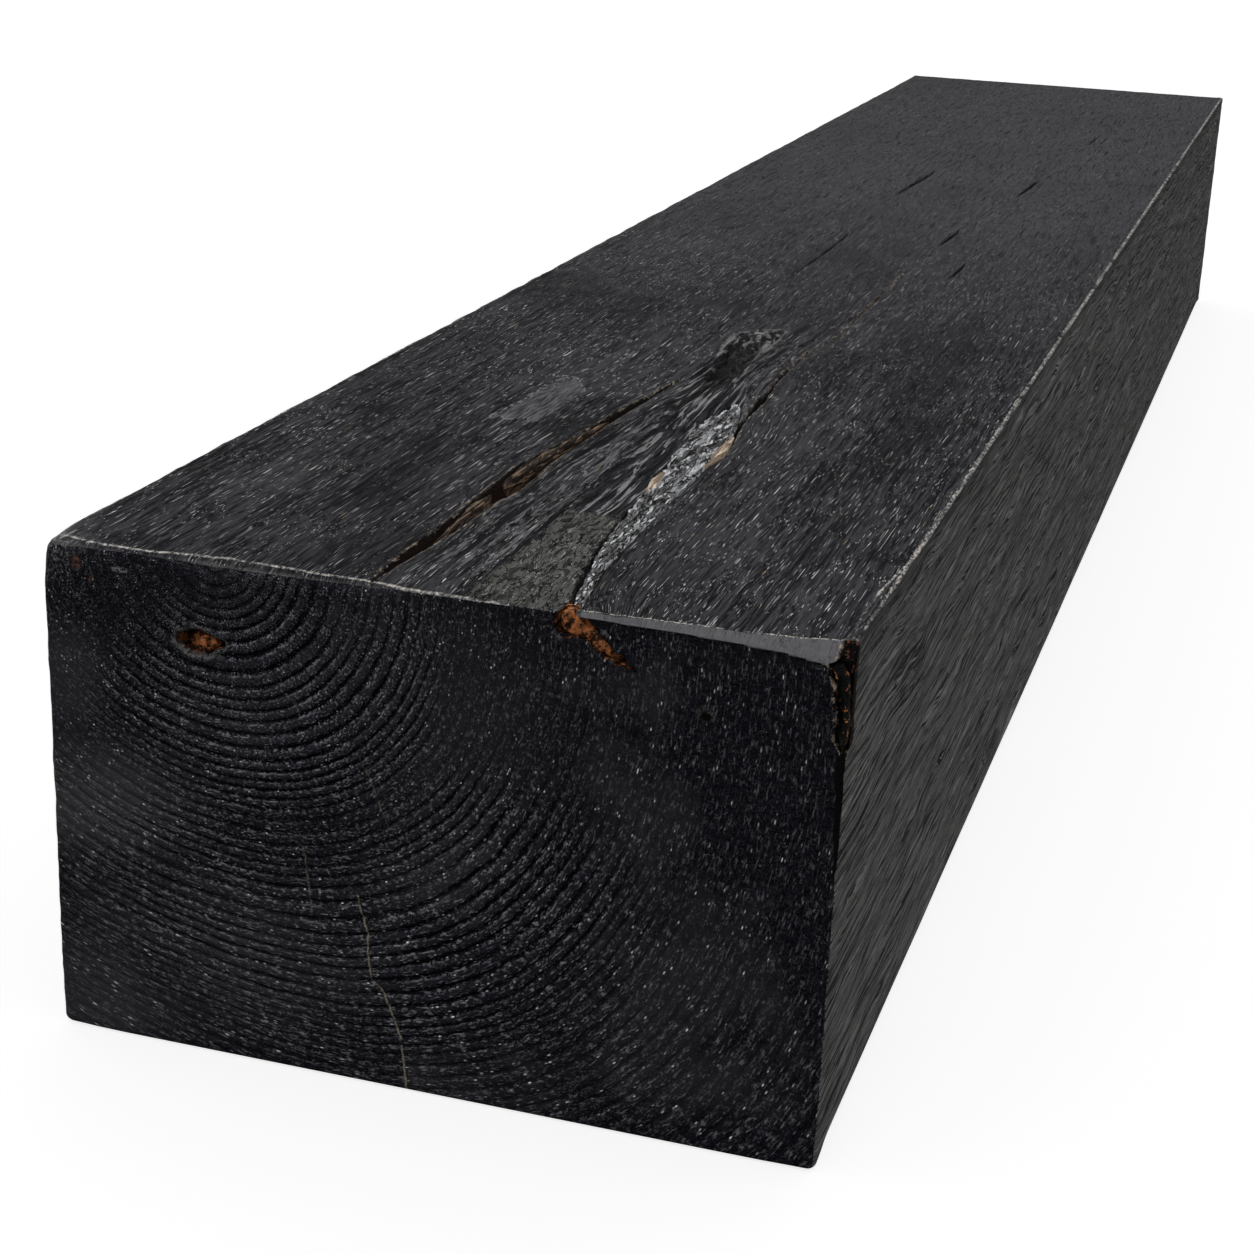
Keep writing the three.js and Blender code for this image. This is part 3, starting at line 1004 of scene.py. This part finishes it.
def scar_color(s, grain):
    """The scar: grey-green bark near the end, dark furrowed wood farther along, painted darker in its furrows
    as painted shade and lighter on its crests as painted highlights, round the dead knot.
    """
    scales = s.noise(s.place, 0.55, 0.15, detail=4.0, roughness=0.62, distortion=0.4)
    curls = contour(s, s.noise(s.place, 0.26, 0.075, roughness=0.6), 0.020)
    furrow = s.noise(grain, 0.80, 0.024, detail=5.0, roughness=0.65)
    creases = s.times(contour(s, scales, 0.016), s.remap(furrow, 0.42, 0.50))
    bark = s.mix(s.remap(scales, 0.40, 0.56), (0.026, 0.027, 0.025), (0.085, 0.088, 0.079))
    bark = s.mix(creases, bark, (0.30, 0.30, 0.28))
    bark = s.mix(contour(s, furrow, 0.020), bark, BLACK)
    bark = s.mix(curls, bark, BLACK)
    # Painted shade and highlight: the furrowed wood is painted darker in the furrows, lighter on the crests
    # and black along the furrow lines.
    wood = s.mix(s.remap(furrow, 0.42, 0.52), (0.0040, 0.0040, 0.0045), (0.028, 0.028, 0.031))
    wood = s.mix(s.remap(furrow, 0.555, 0.585), wood, (0.22, 0.22, 0.225))
    wood = s.mix(contour(s, furrow, 0.012), wood, BLACK)
    inside = s.inside("scar", 5.0, -0.4, 0.8)
    barky = s.inside("barky", 1.0, 0.4, 0.6)
    s.paint(s.times(inside, 0.92), s.mix(barky, wood, bark))
    s.paint(s.times(s.inside("knot", 3.0, -0.5, 1.2), 0.85), (0.007, 0.007, 0.008))
    # Painted highlight: a light grey ring on the raised rim of the knot hollow, from 285 mm along.
    ring = s.times(s.outline("knot", 3.5, 1.2, 0.4, 1.2), s.past(285, 310), s.remap(scales, 0.42, 0.56))
    s.paint(s.times(ring, 0.8), (0.16, 0.16, 0.16))
    s.paint(s.times(s.outline("bark", 2.5, 0.75, 0.35), 0.9), BLACK)
    relief = s.mix(barky, furrow, s.plus(scales, s.times(curls, -0.4)))
    s.lift(s.times(inside, relief, 1.6))


def check_colors(s):
    """Inside the drying checks: black, with a rust-brown right wall in the left check."""
    left = s.inside("left_check", 1.2, -0.25, 0.15)
    right = s.inside("right_check", 0.8, -0.25, 0.10)
    far = s.inside("far_check", 0.9, -0.25, 0.15)
    rusty = s.inside("left_check_side", 2.0, 0.6, 1.6)
    crumbs = s.noise(s.place, 0.8, 0.30, detail=4.0, roughness=0.7)
    rusty = s.times(rusty, s.remap(crumbs, 0.40, 0.50))
    s.paint(left, s.mix(rusty, (0.008, 0.005, 0.004), (0.26, 0.105, 0.045)))
    s.paint(s.most(right, far), (0.005, 0.0045, 0.004))
    left_fringe = s.outline("left_check", 2.0, 0.5, 0.1, 0.5)
    right_fringe = s.outline("right_check", 2.0, 0.45, 0.1, 0.5)
    s.paint(s.times(s.most(left_fringe, right_fringe), s.remap(crumbs, 0.48, 0.62), 0.8), (0.26, 0.21, 0.15))
    s.lift(s.times(s.most(left, right), -1.0))


def hollow_colors(s):
    """Inside the end's knot hole and pocket, and at the broken corner."""
    rotten, crumbs = rotten_color(s)
    hollow = s.most(s.inside("hole", 1.6, -0.2, 0.1), s.inside("pocket", 1.6, -0.2, 0.1))
    corner = s.inside("corner", 1.8, -0.2, 0.15)
    s.paint(hollow, rotten)
    s.paint(corner, s.mix(s.remap(crumbs, 0.56, 0.60), (0.005, 0.0045, 0.0045), (0.13, 0.055, 0.028)))
    lip = s.outline("corner", 1.8, 0.45, 0.1, 0.2)
    s.paint(s.times(lip, s.remap(crumbs, 0.49, 0.56), 0.8), (0.33, 0.27, 0.21))
    s.lift(s.times(s.most(hollow, corner), crumbs, 3.0))


def end_grain():
    """The ends: rings brushed into relief, painted darker in their grooves and lighter on their ridges,
    partly the wood's own tone and partly painted shade and highlight, and thousands of pale flecks along
    them, partly pores, fibres and dust and partly painted glints.
    """
    s = Shader("end_grain")
    s.fray_outlines(0.9, 0.9)
    number, sweep, reach = s.parts(s.vector("rings"))
    ring_place = s.node("ShaderNodeCombineXYZ", {0: reach, 1: sweep}).outputs[0]
    each_ring = s.node("ShaderNodeCombineXYZ", {0: number, 1: sweep}).outputs[0]
    grit = s.noise(s.place, 1.5, roughness=0.7)
    ragged = s.noise(ring_place, 0.9, 0.22, detail=4.0, roughness=0.65)
    plainness = s.remap(s.noise(each_ring, 0.9, 0.02, detail=2.0), 0.34, 0.54, 0.35, 1.0)
    phase = s.math("FRACT", s.plus(number, s.times(s.minus(ragged, 0.5), 0.55)))
    ringed = s.mark("ringed")
    groove = s.times(s.remap(phase, 0.0, 0.06), s.remap(phase, 0.36, 0.14), plainness)
    ridge = s.times(s.remap(phase, 0.40, 0.52), s.remap(phase, 1.0, 0.80))
    s.color = s.mix(s.remap(grit, 0.36, 0.62), (0.0014, 0.0014, 0.0022), (0.0095, 0.0098, 0.0138))
    s.paint(s.times(end_dust(s), 0.75), (0.055, 0.055, 0.061))
    # Partly painted highlight: the ring ridges are painted lighter, partly the wood's own tone.
    s.paint(s.times(ridge, ringed, 0.5), (0.026, 0.026, 0.033))
    # Partly painted shade: the ring grooves are painted nearly black, partly the wood's own tone.
    s.paint(s.times(groove, s.remap(ringed, 0.05, 0.6), 0.95), (0.0014, 0.0014, 0.0020))
    s.height = s.times(grit, 0.8)
    end_flecks(s, ring_place, phase, groove)
    s.lift(s.times(groove, ringed, -1.6))
    rim = s.outline("hole", 2.0, 0.7, 0.2, 0.7)
    s.paint(s.times(rim, s.remap(grit, 0.40, 0.52)), (0.085, 0.085, 0.085))
    hairlines(s)
    end_stains(s, grit)
    worn_and_highlit_lines(s, {"near_line": 1.1})
    corner = s.times(s.remap(s.mark("worn_corner"), 0, 9), s.remap(s.wander, -0.02, 0.14))
    s.paint(s.times(corner, 0.7), (0.16, 0.155, 0.15))
    facet_color(s, grit)
    hollow_colors(s)
    return s.finish(s.remap(grit, 0.3, 0.7, 0.72, 0.5), relief=0.45, specular=0.012)


def end_flecks(s, ring_place, phase, groove):
    """Light curls, lines and dots in the end grain, most of them along the rings. The lip just outside each
    groove is a painted highlight on the ring's edge, and the dots are partly dust and partly painted glints.
    """
    ringed = s.mark("ringed")
    curls = contour(s, s.noise(s.place, 0.75, detail=2.0, roughness=0.6, distortion=0.8), 0.020)
    broken = s.noise(s.shift(s.stretch(s.place, (0.9, 0.9, 0.9)), (9.0, 4.0, 2.0)), 1.0, detail=2.0)
    curls = s.times(curls, s.remap(broken, 0.46, 0.54))
    along_rings = s.noise(ring_place, 1.9, 0.45, detail=2.0, roughness=0.5)
    lines = s.times(s.remap(along_rings, 0.56, 0.62), s.remap(ringed, 0.0, 0.5, 0.45, 1.0))
    # Painted highlight: a light line just outside each groove, on the ring's edge.
    lip = s.times(s.remap(phase, 0.34, 0.40), s.remap(phase, 0.58, 0.46), s.remap(broken, 0.44, 0.56))
    lines = s.most(lines, s.times(lip, ringed, 1.2))
    light = s.times(s.most(curls, lines), s.remap(groove, 0.0, 1.0, 1.0, 0.2))
    uneven = s.remap(s.noise(s.place, 0.35), 0.36, 0.62, 0.25, 1.0)
    # Partly painted glints: the pale dots stand partly for dust and partly for glints of light on the fibres.
    dots = s.times(s.flecks(s.stretch(ring_place, (1.30, 0.50, 1.0)), 0.30, 0.22), uneven)
    s.paint(s.times(light, uneven), (0.150, 0.150, 0.165))
    s.paint(dots, (0.80, 0.80, 0.81))
    s.lift(s.times(light, 0.6), s.times(dots, 0.4))


def spot(s, across, up, wide, high, soft=0.5):
    """A soft oval patch on the end, sizes in mm across and up from the lower left corner."""
    from_middle = s.shift(s.place, (-LOW[ACROSS] - across, 0.0, -up))
    moved = s.stretch(from_middle, (1 / wide, 0.0, 1 / high))
    away = s.node("ShaderNodeVectorMath", {0: moved}, operation="LENGTH").outputs["Value"]
    return s.remap(away, 1 + soft, 1 - soft)


# Grey dust on the near end: (across, up, half its width, half its height, strength).
DUST_PATCHES = (
    (14, 74, 26, 16, 1.0), (46, 34, 34, 20, 0.55), (10, 14, 30, 16, 0.65), (6, 108, 12, 14, 0.6),
    (118, 112, 26, 30, 0.28),
)
# Rust flecks, a grey chip and the bark of a pin knot: (across, up, half width, half height), colour.
END_STAINS = (
    ((11.2, 142.6, 1.2, 1.8), (0.13, 0.05, 0.028)), ((15.2, 138.4, 0.9, 0.7), (0.10, 0.04, 0.022)),
    ((24.0, 142.2, 2.6, 0.8), (0.20, 0.20, 0.21)), ((188.5, 126.0, 2.2, 1.6), (0.10, 0.085, 0.07)),
)
PIN_KNOT = (188.6, 125.4, 1.5, 1.2)
# The pale hairlines' marks, the heights they run between and how plain they are.
HAIRLINES = (("long_hairline", 0, 60, 1.0), ("short_hairline", 50, 71, 0.45), ("top_hairline", 80, 98, 0.4))


def end_dust(s):
    """Grey dusty patches at the left of the near end and over its lower left corner."""
    clouds = s.noise(s.place, 0.022, roughness=0.6)
    dust = s.remap(clouds, 0.50, 0.70, 0.0, 0.35)
    for *patch, strength in DUST_PATCHES:
        dust = s.most(dust, s.times(spot(s, *patch, soft=0.8), strength))
    return s.times(dust, s.remap(clouds, 0.30, 0.60, 0.45, 1.0))


def hairlines(s):
    """Fine drying hairlines, pale with dust, at right angles to the rings."""
    up = s.parts(s.place)[UP]
    breaks = s.remap(s.noise(s.place, 0.28), 0.34, 0.50)
    for name, low, high, strength in HAIRLINES:
        ends = (s.remap(up, high, high - 3), s.remap(up, low - 1, low + 1))
        line = s.times(s.outline(name, 1.3, 0.42, 0.12), *ends, breaks, 0.85 * strength)
        s.paint(line, (0.20, 0.17, 0.13))


def end_stains(s, grit):
    """Small rust flecks and a grey chip at the top left of the near end, and a pin knot at the right."""
    broken = s.remap(grit, 0.44, 0.56)
    for patch, tone in END_STAINS:
        s.paint(s.times(spot(s, *patch, soft=0.4), broken, 0.9), tone)
    s.paint(spot(s, *PIN_KNOT, soft=0.3), (0.003, 0.003, 0.003))


def grey_bark():
    """The bark's grey plates, parted by black fissures."""
    s = Shader("grey_bark")
    plates = s.noise(s.place, 0.24, 0.036, roughness=0.6, distortion=0.3)
    cracked = s.noise(s.place, 0.42, 0.060, detail=1.0, roughness=0.5)
    fissures = s.most(contour(s, plates, 0.024), contour(s, cracked, 0.018), s.remap(plates, 0.39, 0.37))
    fine = s.noise(s.place, 0.85, 0.09, roughness=0.6)
    s.color = s.mix(s.remap(plates, 0.42, 0.60), (0.085, 0.085, 0.088), (0.26, 0.265, 0.275))
    s.paint(s.remap(fine, 0.46, 0.41, 0.0, 0.8), (0.030, 0.030, 0.031))
    s.paint(s.remap(fine, 0.56, 0.60, 0.0, 0.85), (0.55, 0.56, 0.57))
    s.paint(fissures, (0.006, 0.006, 0.006))
    s.height = s.plus(plates, s.times(fine, 0.4), s.times(fissures, -0.5))
    return s.finish(s.remap(fine, 0.3, 0.7, 0.85, 0.6), relief=1.0, specular=0.10)


def fibrous_wood(name, dark, light):
    """Bare split wood: long fibres from dark to light."""
    s = Shader(name)
    s.height = s.noise(s.place, 1.5, 0.07, detail=4.0, roughness=0.65)
    blotches = s.noise(s.place, 0.7, 0.08)
    s.color = s.mix(s.remap(s.height, 0.44, 0.54), dark, light)
    s.paint(s.remap(blotches, 0.51, 0.47, 0.0, 0.9), dark)
    return s.finish(s.remap(s.height, 0.3, 0.7, 0.85, 0.65), relief=0.5, specular=0.10)


def rotten_wood():
    s = Shader("rotten_wood")
    s.color, s.height = rotten_color(s)
    return s.finish(0.85, relief=1.6, specular=0.08)


def charred_rot():
    """The broken corner's crumbs: nearly black, with a little rust."""
    s = Shader("charred_rot")
    rotten, s.height = rotten_color(s)
    s.color = s.mix(s.remap(s.height, 0.58, 0.62), (0.005, 0.005, 0.005), rotten)
    return s.finish(0.85, relief=1.6, specular=0.08)


def dark_knot():
    """The dead knot: black folds, with grey scales painted lighter on its raised far part as a painted
    highlight.
    """
    s = Shader("dark_knot")
    scales = s.noise(s.place, 0.30, 0.12, detail=6.0, roughness=0.7, distortion=0.8)
    # Painted highlight: the scales are painted lighter on the knot's raised far part.
    light = s.times(s.remap(scales, 0.44, 0.62), s.past(314, 326, 0.12, 1.0))
    folds = s.remap(s.math("ABSOLUTE", s.minus(scales, 0.5)), 0.03, 0.0)
    s.color = s.mix(light, (0.006, 0.006, 0.007), (0.20, 0.20, 0.205))
    s.paint(s.times(folds, 0.8), BLACK)
    s.height = s.plus(scales, s.times(folds, -0.3))
    return s.finish(0.7, relief=1.4, specular=0.08)


# --- Inlaid pieces ----------------------------------------------------------------------------------

def strip_piece(stations, back, step=0.6, sides=18, relief=0.4, crown=0.6, seed=60):
    """A closed piece along [a, b, width, depth] stations, square behind and rough and crowned in front.

    Depth is how far its front lies below the face, and back is the depth of its back. Returns rings
    of points, each (a, b, depth).
    """
    runs = np.hypot(*np.diff(stations[:, :2], axis=0).T)
    distance = np.concatenate([[0], np.cumsum(runs)])
    at = np.linspace(0, distance[-1], max(8, int(distance[-1] / step)))
    table = np.column_stack([distance, stations])
    a, b, width, surface = [smooth_line(at, table, column) for column in (1, 2, 3, 4)]
    run = np.stack([np.gradient(a, at), np.gradient(b, at)], -1)
    run /= np.linalg.norm(run, axis=1, keepdims=True)
    across = np.linspace(-1, 1, sides)
    half = np.clip(width, 0.3, None)[:, None] / 2
    edge_places = in_plane(at, 0 * at)[:, None] + [0, 1, 0] * np.sign(across)[:, None]
    ragged = 1 + 0.22 * noise(edge_places, (4, 1, 1), seed=seed + 30, octaves=3)
    front_a = a[:, None] - run[:, 1:] * half * ragged * across
    front_b = b[:, None] + run[:, :1] * half * ragged * across
    rough = noise(in_plane(front_a, front_b), (2.2, 5.0, 1), seed=seed, octaves=4)
    ends = np.sqrt(np.clip(np.sin(np.linspace(0.05, math.pi - 0.05, len(at))), 0, 1))[:, None]
    front_depth = surface[:, None] - crown * (1 - across**2) * ends - relief * rough
    front = np.stack([front_a, front_b, front_depth], -1)
    behind = np.stack([front_a, front_b, np.full_like(front_depth, back)], -1)[:, ::-1]
    return np.concatenate([front, behind], axis=1)


def add_strip(name, rings, on_top, material, node):
    """Makes a strip piece an object that stands for its CAD node."""
    a, b, depth = np.moveaxis(rings, -1, 0)
    points = np.stack([a, b, HEIGHT - depth] if on_top else [a, depth, b], -1).reshape(-1, 3)
    count, around = rings.shape[:2]
    ids = np.arange(count * around).reshape(count, around)
    following = np.roll(ids, -1, axis=1)
    quads = np.stack([ids[:-1], following[:-1], following[1:], ids[1:]], -1).reshape(-1, 4)
    polygons = list(quads) + [ids[0][::-1], ids[-1]]
    piece = new_object(name, to_frame(points), polygons)
    tools = bmesh.new()
    tools.from_mesh(piece.data)
    bmesh.ops.recalc_face_normals(tools, faces=tools.faces)
    tools.to_mesh(piece.data)
    tools.free()
    piece.data.materials.append(material)
    take_place(piece, node)


def take_place(piece, node):
    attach(piece, "root")
    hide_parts(node)


# Stations of the inlaid pieces. On the top: [across, along, width, depth of the front].
NEAR_SPLINTER = np.array([
    [96.6, 42, 0.7, 2.6], [96.8, 56, 1.8, 1.8], [96.2, 70, 2.8, 1.2], [95.4, 84, 3.0, 1.2],
    [94.4, 96, 1.0, 2.0],
])
FAR_SPLINTER = np.array([
    [94.2, 108, 1.2, 2.0], [94.9, 118, 3.0, 1.3], [95.6, 132, 4.0, 0.9], [97.2, 148, 3.0, 0.8],
    [99.0, 166, 1.8, 1.0], [101.0, 190, 0.5, 1.4],
])
PALE_SPLINTER = np.array([
    [145.6, 146, 0.8, 0.6], [146.2, 154, 3.0, 0.3], [145.8, 166, 2.8, 0.3], [145.2, 178, 1.8, 0.4],
    [144.8, 187, 0.5, 0.8],
])
BARK_CHIP = np.array([
    [138.9, 110, 0.8, 0.4], [137.8, 117, 2.6, 0.0], [137.0, 125, 2.8, 0.0], [136.2, 132, 1.8, 0.2],
    [135.8, 138, 0.5, 0.6],
])
KNOT_STUB = np.array([
    [116.2, 258, 3.5, 4.2], [115.8, 272, 8, 4.0], [116.8, 290, 10, 3.8], [116.2, 308, 12, 3.8],
    [115.4, 318, 14, 3.0], [115.6, 326, 15, 0.2], [117.0, 336, 12, -0.1], [119.5, 344, 5, 0.2],
])
# On the near end: [across, up, width, depth of the front].
END_KNOT_FILL = np.array([
    [42.8, 124.2, 1.6, 4.2], [45.4, 124.2, 4.6, 3.0], [49.0, 124.4, 4.8, 1.6], [52.6, 124.8, 1.4, 2.2],
])
POCKET_FILL = np.array([
    [150.4, 147.4, 3.2, 1.2], [151.0, 145.0, 5.0, 1.4], [154.8, 143.8, 5.4, 1.6], [158.0, 141.6, 4.2, 1.8],
    [161.4, 139.0, 2.8, 1.8], [165.2, 136.5, 1.0, 2.0],
])
CORNER_FILL = np.array([
    [221.2, 143.0, 1.8, 1.4], [222.4, 139.0, 2.6, 2.4], [223.2, 132.0, 2.2, 3.0], [223.4, 126.0, 2.4, 2.2],
    [223.8, 122.4, 1.0, 1.4],
])


def inlaid_pieces():
    splinter = fibrous_wood("weathered_splinter", (0.006, 0.0042, 0.0034), (0.15, 0.105, 0.072))
    pale = fibrous_wood("pale_wood", (0.15, 0.11, 0.075), (0.58, 0.48, 0.36))
    rotten = rotten_wood()
    bark_depth = np.interp(BARK[:, 0], [3, 40, 90, 180, 228], [1.2, 0.7, 0.2, 0.4, 1.0])
    bark = np.column_stack([BARK[:, 1] + 0.5, BARK[:, 0], BARK[:, 2] - 1.0, bark_depth])
    for name, rings, on_top, material, node, slot in (
        ("bark", strip_piece(bark, 6.0, sides=34, relief=1.3, crown=0.8, seed=61),
         True, grey_bark(), "bark_inclusion", "grey_bark"),
        ("bark_flake", strip_piece(BARK_CHIP, 1.8, relief=0.3, crown=0.3, seed=62),
         True, pale, "bark_chip", "pale_wood"),
        ("knot", strip_piece(KNOT_STUB, 9.0, sides=26, relief=1.5, crown=0.9, seed=63),
         True, dark_knot(), "knot_stub", "dark_knot"),
        ("splinter_near", strip_piece(NEAR_SPLINTER, 8.0, relief=0.6, seed=64),
         True, splinter, "near_check_splinter", "weathered_splinter"),
        ("splinter_far", strip_piece(FAR_SPLINTER, 8.0, relief=0.6, seed=65),
         True, splinter, "far_check_splinter", "weathered_splinter"),
        ("splinter_pale", strip_piece(PALE_SPLINTER, 6.0, relief=0.35, crown=0.3, seed=66),
         True, pale, "pale_splinter", "pale_wood"),
        ("knot_fibres", strip_piece(END_KNOT_FILL, 8.5, step=0.3, relief=1.4, seed=67),
         False, rotten, "end_knot_fill", "rotten_wood"),
        ("pocket_crumbs", strip_piece(POCKET_FILL, 8.5, step=0.3, relief=1.6, seed=68),
         False, rotten, "pocket_rotten_wood", "rotten_wood"),
        ("corner_crumbs", strip_piece(CORNER_FILL, 6.0, step=0.3, relief=1.2, seed=69),
         False, charred_rot(), "corner_rotten_wood", "rotten_wood"),
    ):
        add_strip(name, rings, on_top, material, node)


# --- Floor, light and camera ------------------------------------------------------------------------

FLOOR_HALF = 20.0
FLOOR_GLOW = 0.77
WORLD_LIGHT = 0.30


def sun(name, strength, spread, direction, floor):
    """A distant light along a direction. It leaves the floor alone, so the floor shows no hard shadow."""
    light = bpy.data.lights.new(name, "SUN")
    light.energy = strength
    light.angle = math.radians(spread)
    thing = bpy.data.objects.new(name, light)
    thing.rotation_euler = Vector(direction).to_track_quat("-Z", "Y").to_euler()
    bpy.context.collection.objects.link(thing)
    spared = bpy.data.collections.new(name + "_leaves_out")
    spared.objects.link(floor)
    spared.collection_objects[0].light_linking.link_state = "EXCLUDE"
    thing.light_linking.receiver_collection = spared


def studio():
    """A white light table with white walls far off, and lights from the left, the right and behind."""
    square = np.array([[-1, -1, 0], [1, -1, 0], [1, 1, 0], [-1, 1, 0]])
    corners = FLOOR_HALF * np.concatenate([square, square + [0, 0, 1]])
    walls = [np.array([(side + 1) % 4, side, side + 4, (side + 1) % 4 + 4]) for side in range(4)]
    floor = new_object("floor", corners, [np.arange(4)] + walls, smooth=False)
    material = bpy.data.materials.new("pale_floor")
    material.use_nodes = True
    surface = material.node_tree.nodes["Principled BSDF"].inputs
    surface["Base Color"].default_value = (0.93, 0.93, 0.93, 1)
    surface["Roughness"].default_value = 0.9
    surface["Specular IOR Level"].default_value = 0.1
    surface["Emission Color"].default_value = (1, 1, 1, 1)
    surface["Emission Strength"].default_value = FLOOR_GLOW
    floor.data.materials.append(material)
    floor.visible_diffuse = False
    floor.visible_glossy = False
    floor.visible_shadow = False

    world = bpy.data.worlds.new("studio")
    world.use_nodes = True
    background = world.node_tree.nodes["Background"].inputs
    background["Color"].default_value = (1, 1, 1, 1)
    background["Strength"].default_value = WORLD_LIGHT
    bpy.context.scene.world = world

    sun("key", 1.8, 6, (0.52, 0.40, -0.75), floor)
    sun("side_light", 1.3, 8, (-0.60, 0.12, -0.79), floor)
    sun("back_light", 0.4, 50, (0.10, -0.55, -0.80), floor)


# The camera stands off the near end, a little to the right and above. Its place is in block widths.
CAMERA_PLACE = np.array([1.4598, -2.4017, 1.5449])
CAMERA_TURN = (1.22792, -0.03793, 0.30383)
CAMERA_LENS = 68.30
SENSOR_WIDTH = 36
NEAREST_SEEN = 0.01


def camera():
    lens = bpy.data.cameras.new("camera")
    lens.lens = CAMERA_LENS
    lens.sensor_width = SENSOR_WIDTH
    lens.clip_start = NEAREST_SEEN
    view = bpy.data.objects.new("camera", lens)
    view.location = to_frame(CAMERA_PLACE * WIDTH)
    view.rotation_euler = CAMERA_TURN
    bpy.context.scene.collection.objects.link(view)
    bpy.context.scene.camera = view


bpy.context.scene.view_settings.view_transform = "Standard"
camera()
studio()
take_place(timber_body(), "timber_body")
inlaid_pieces()
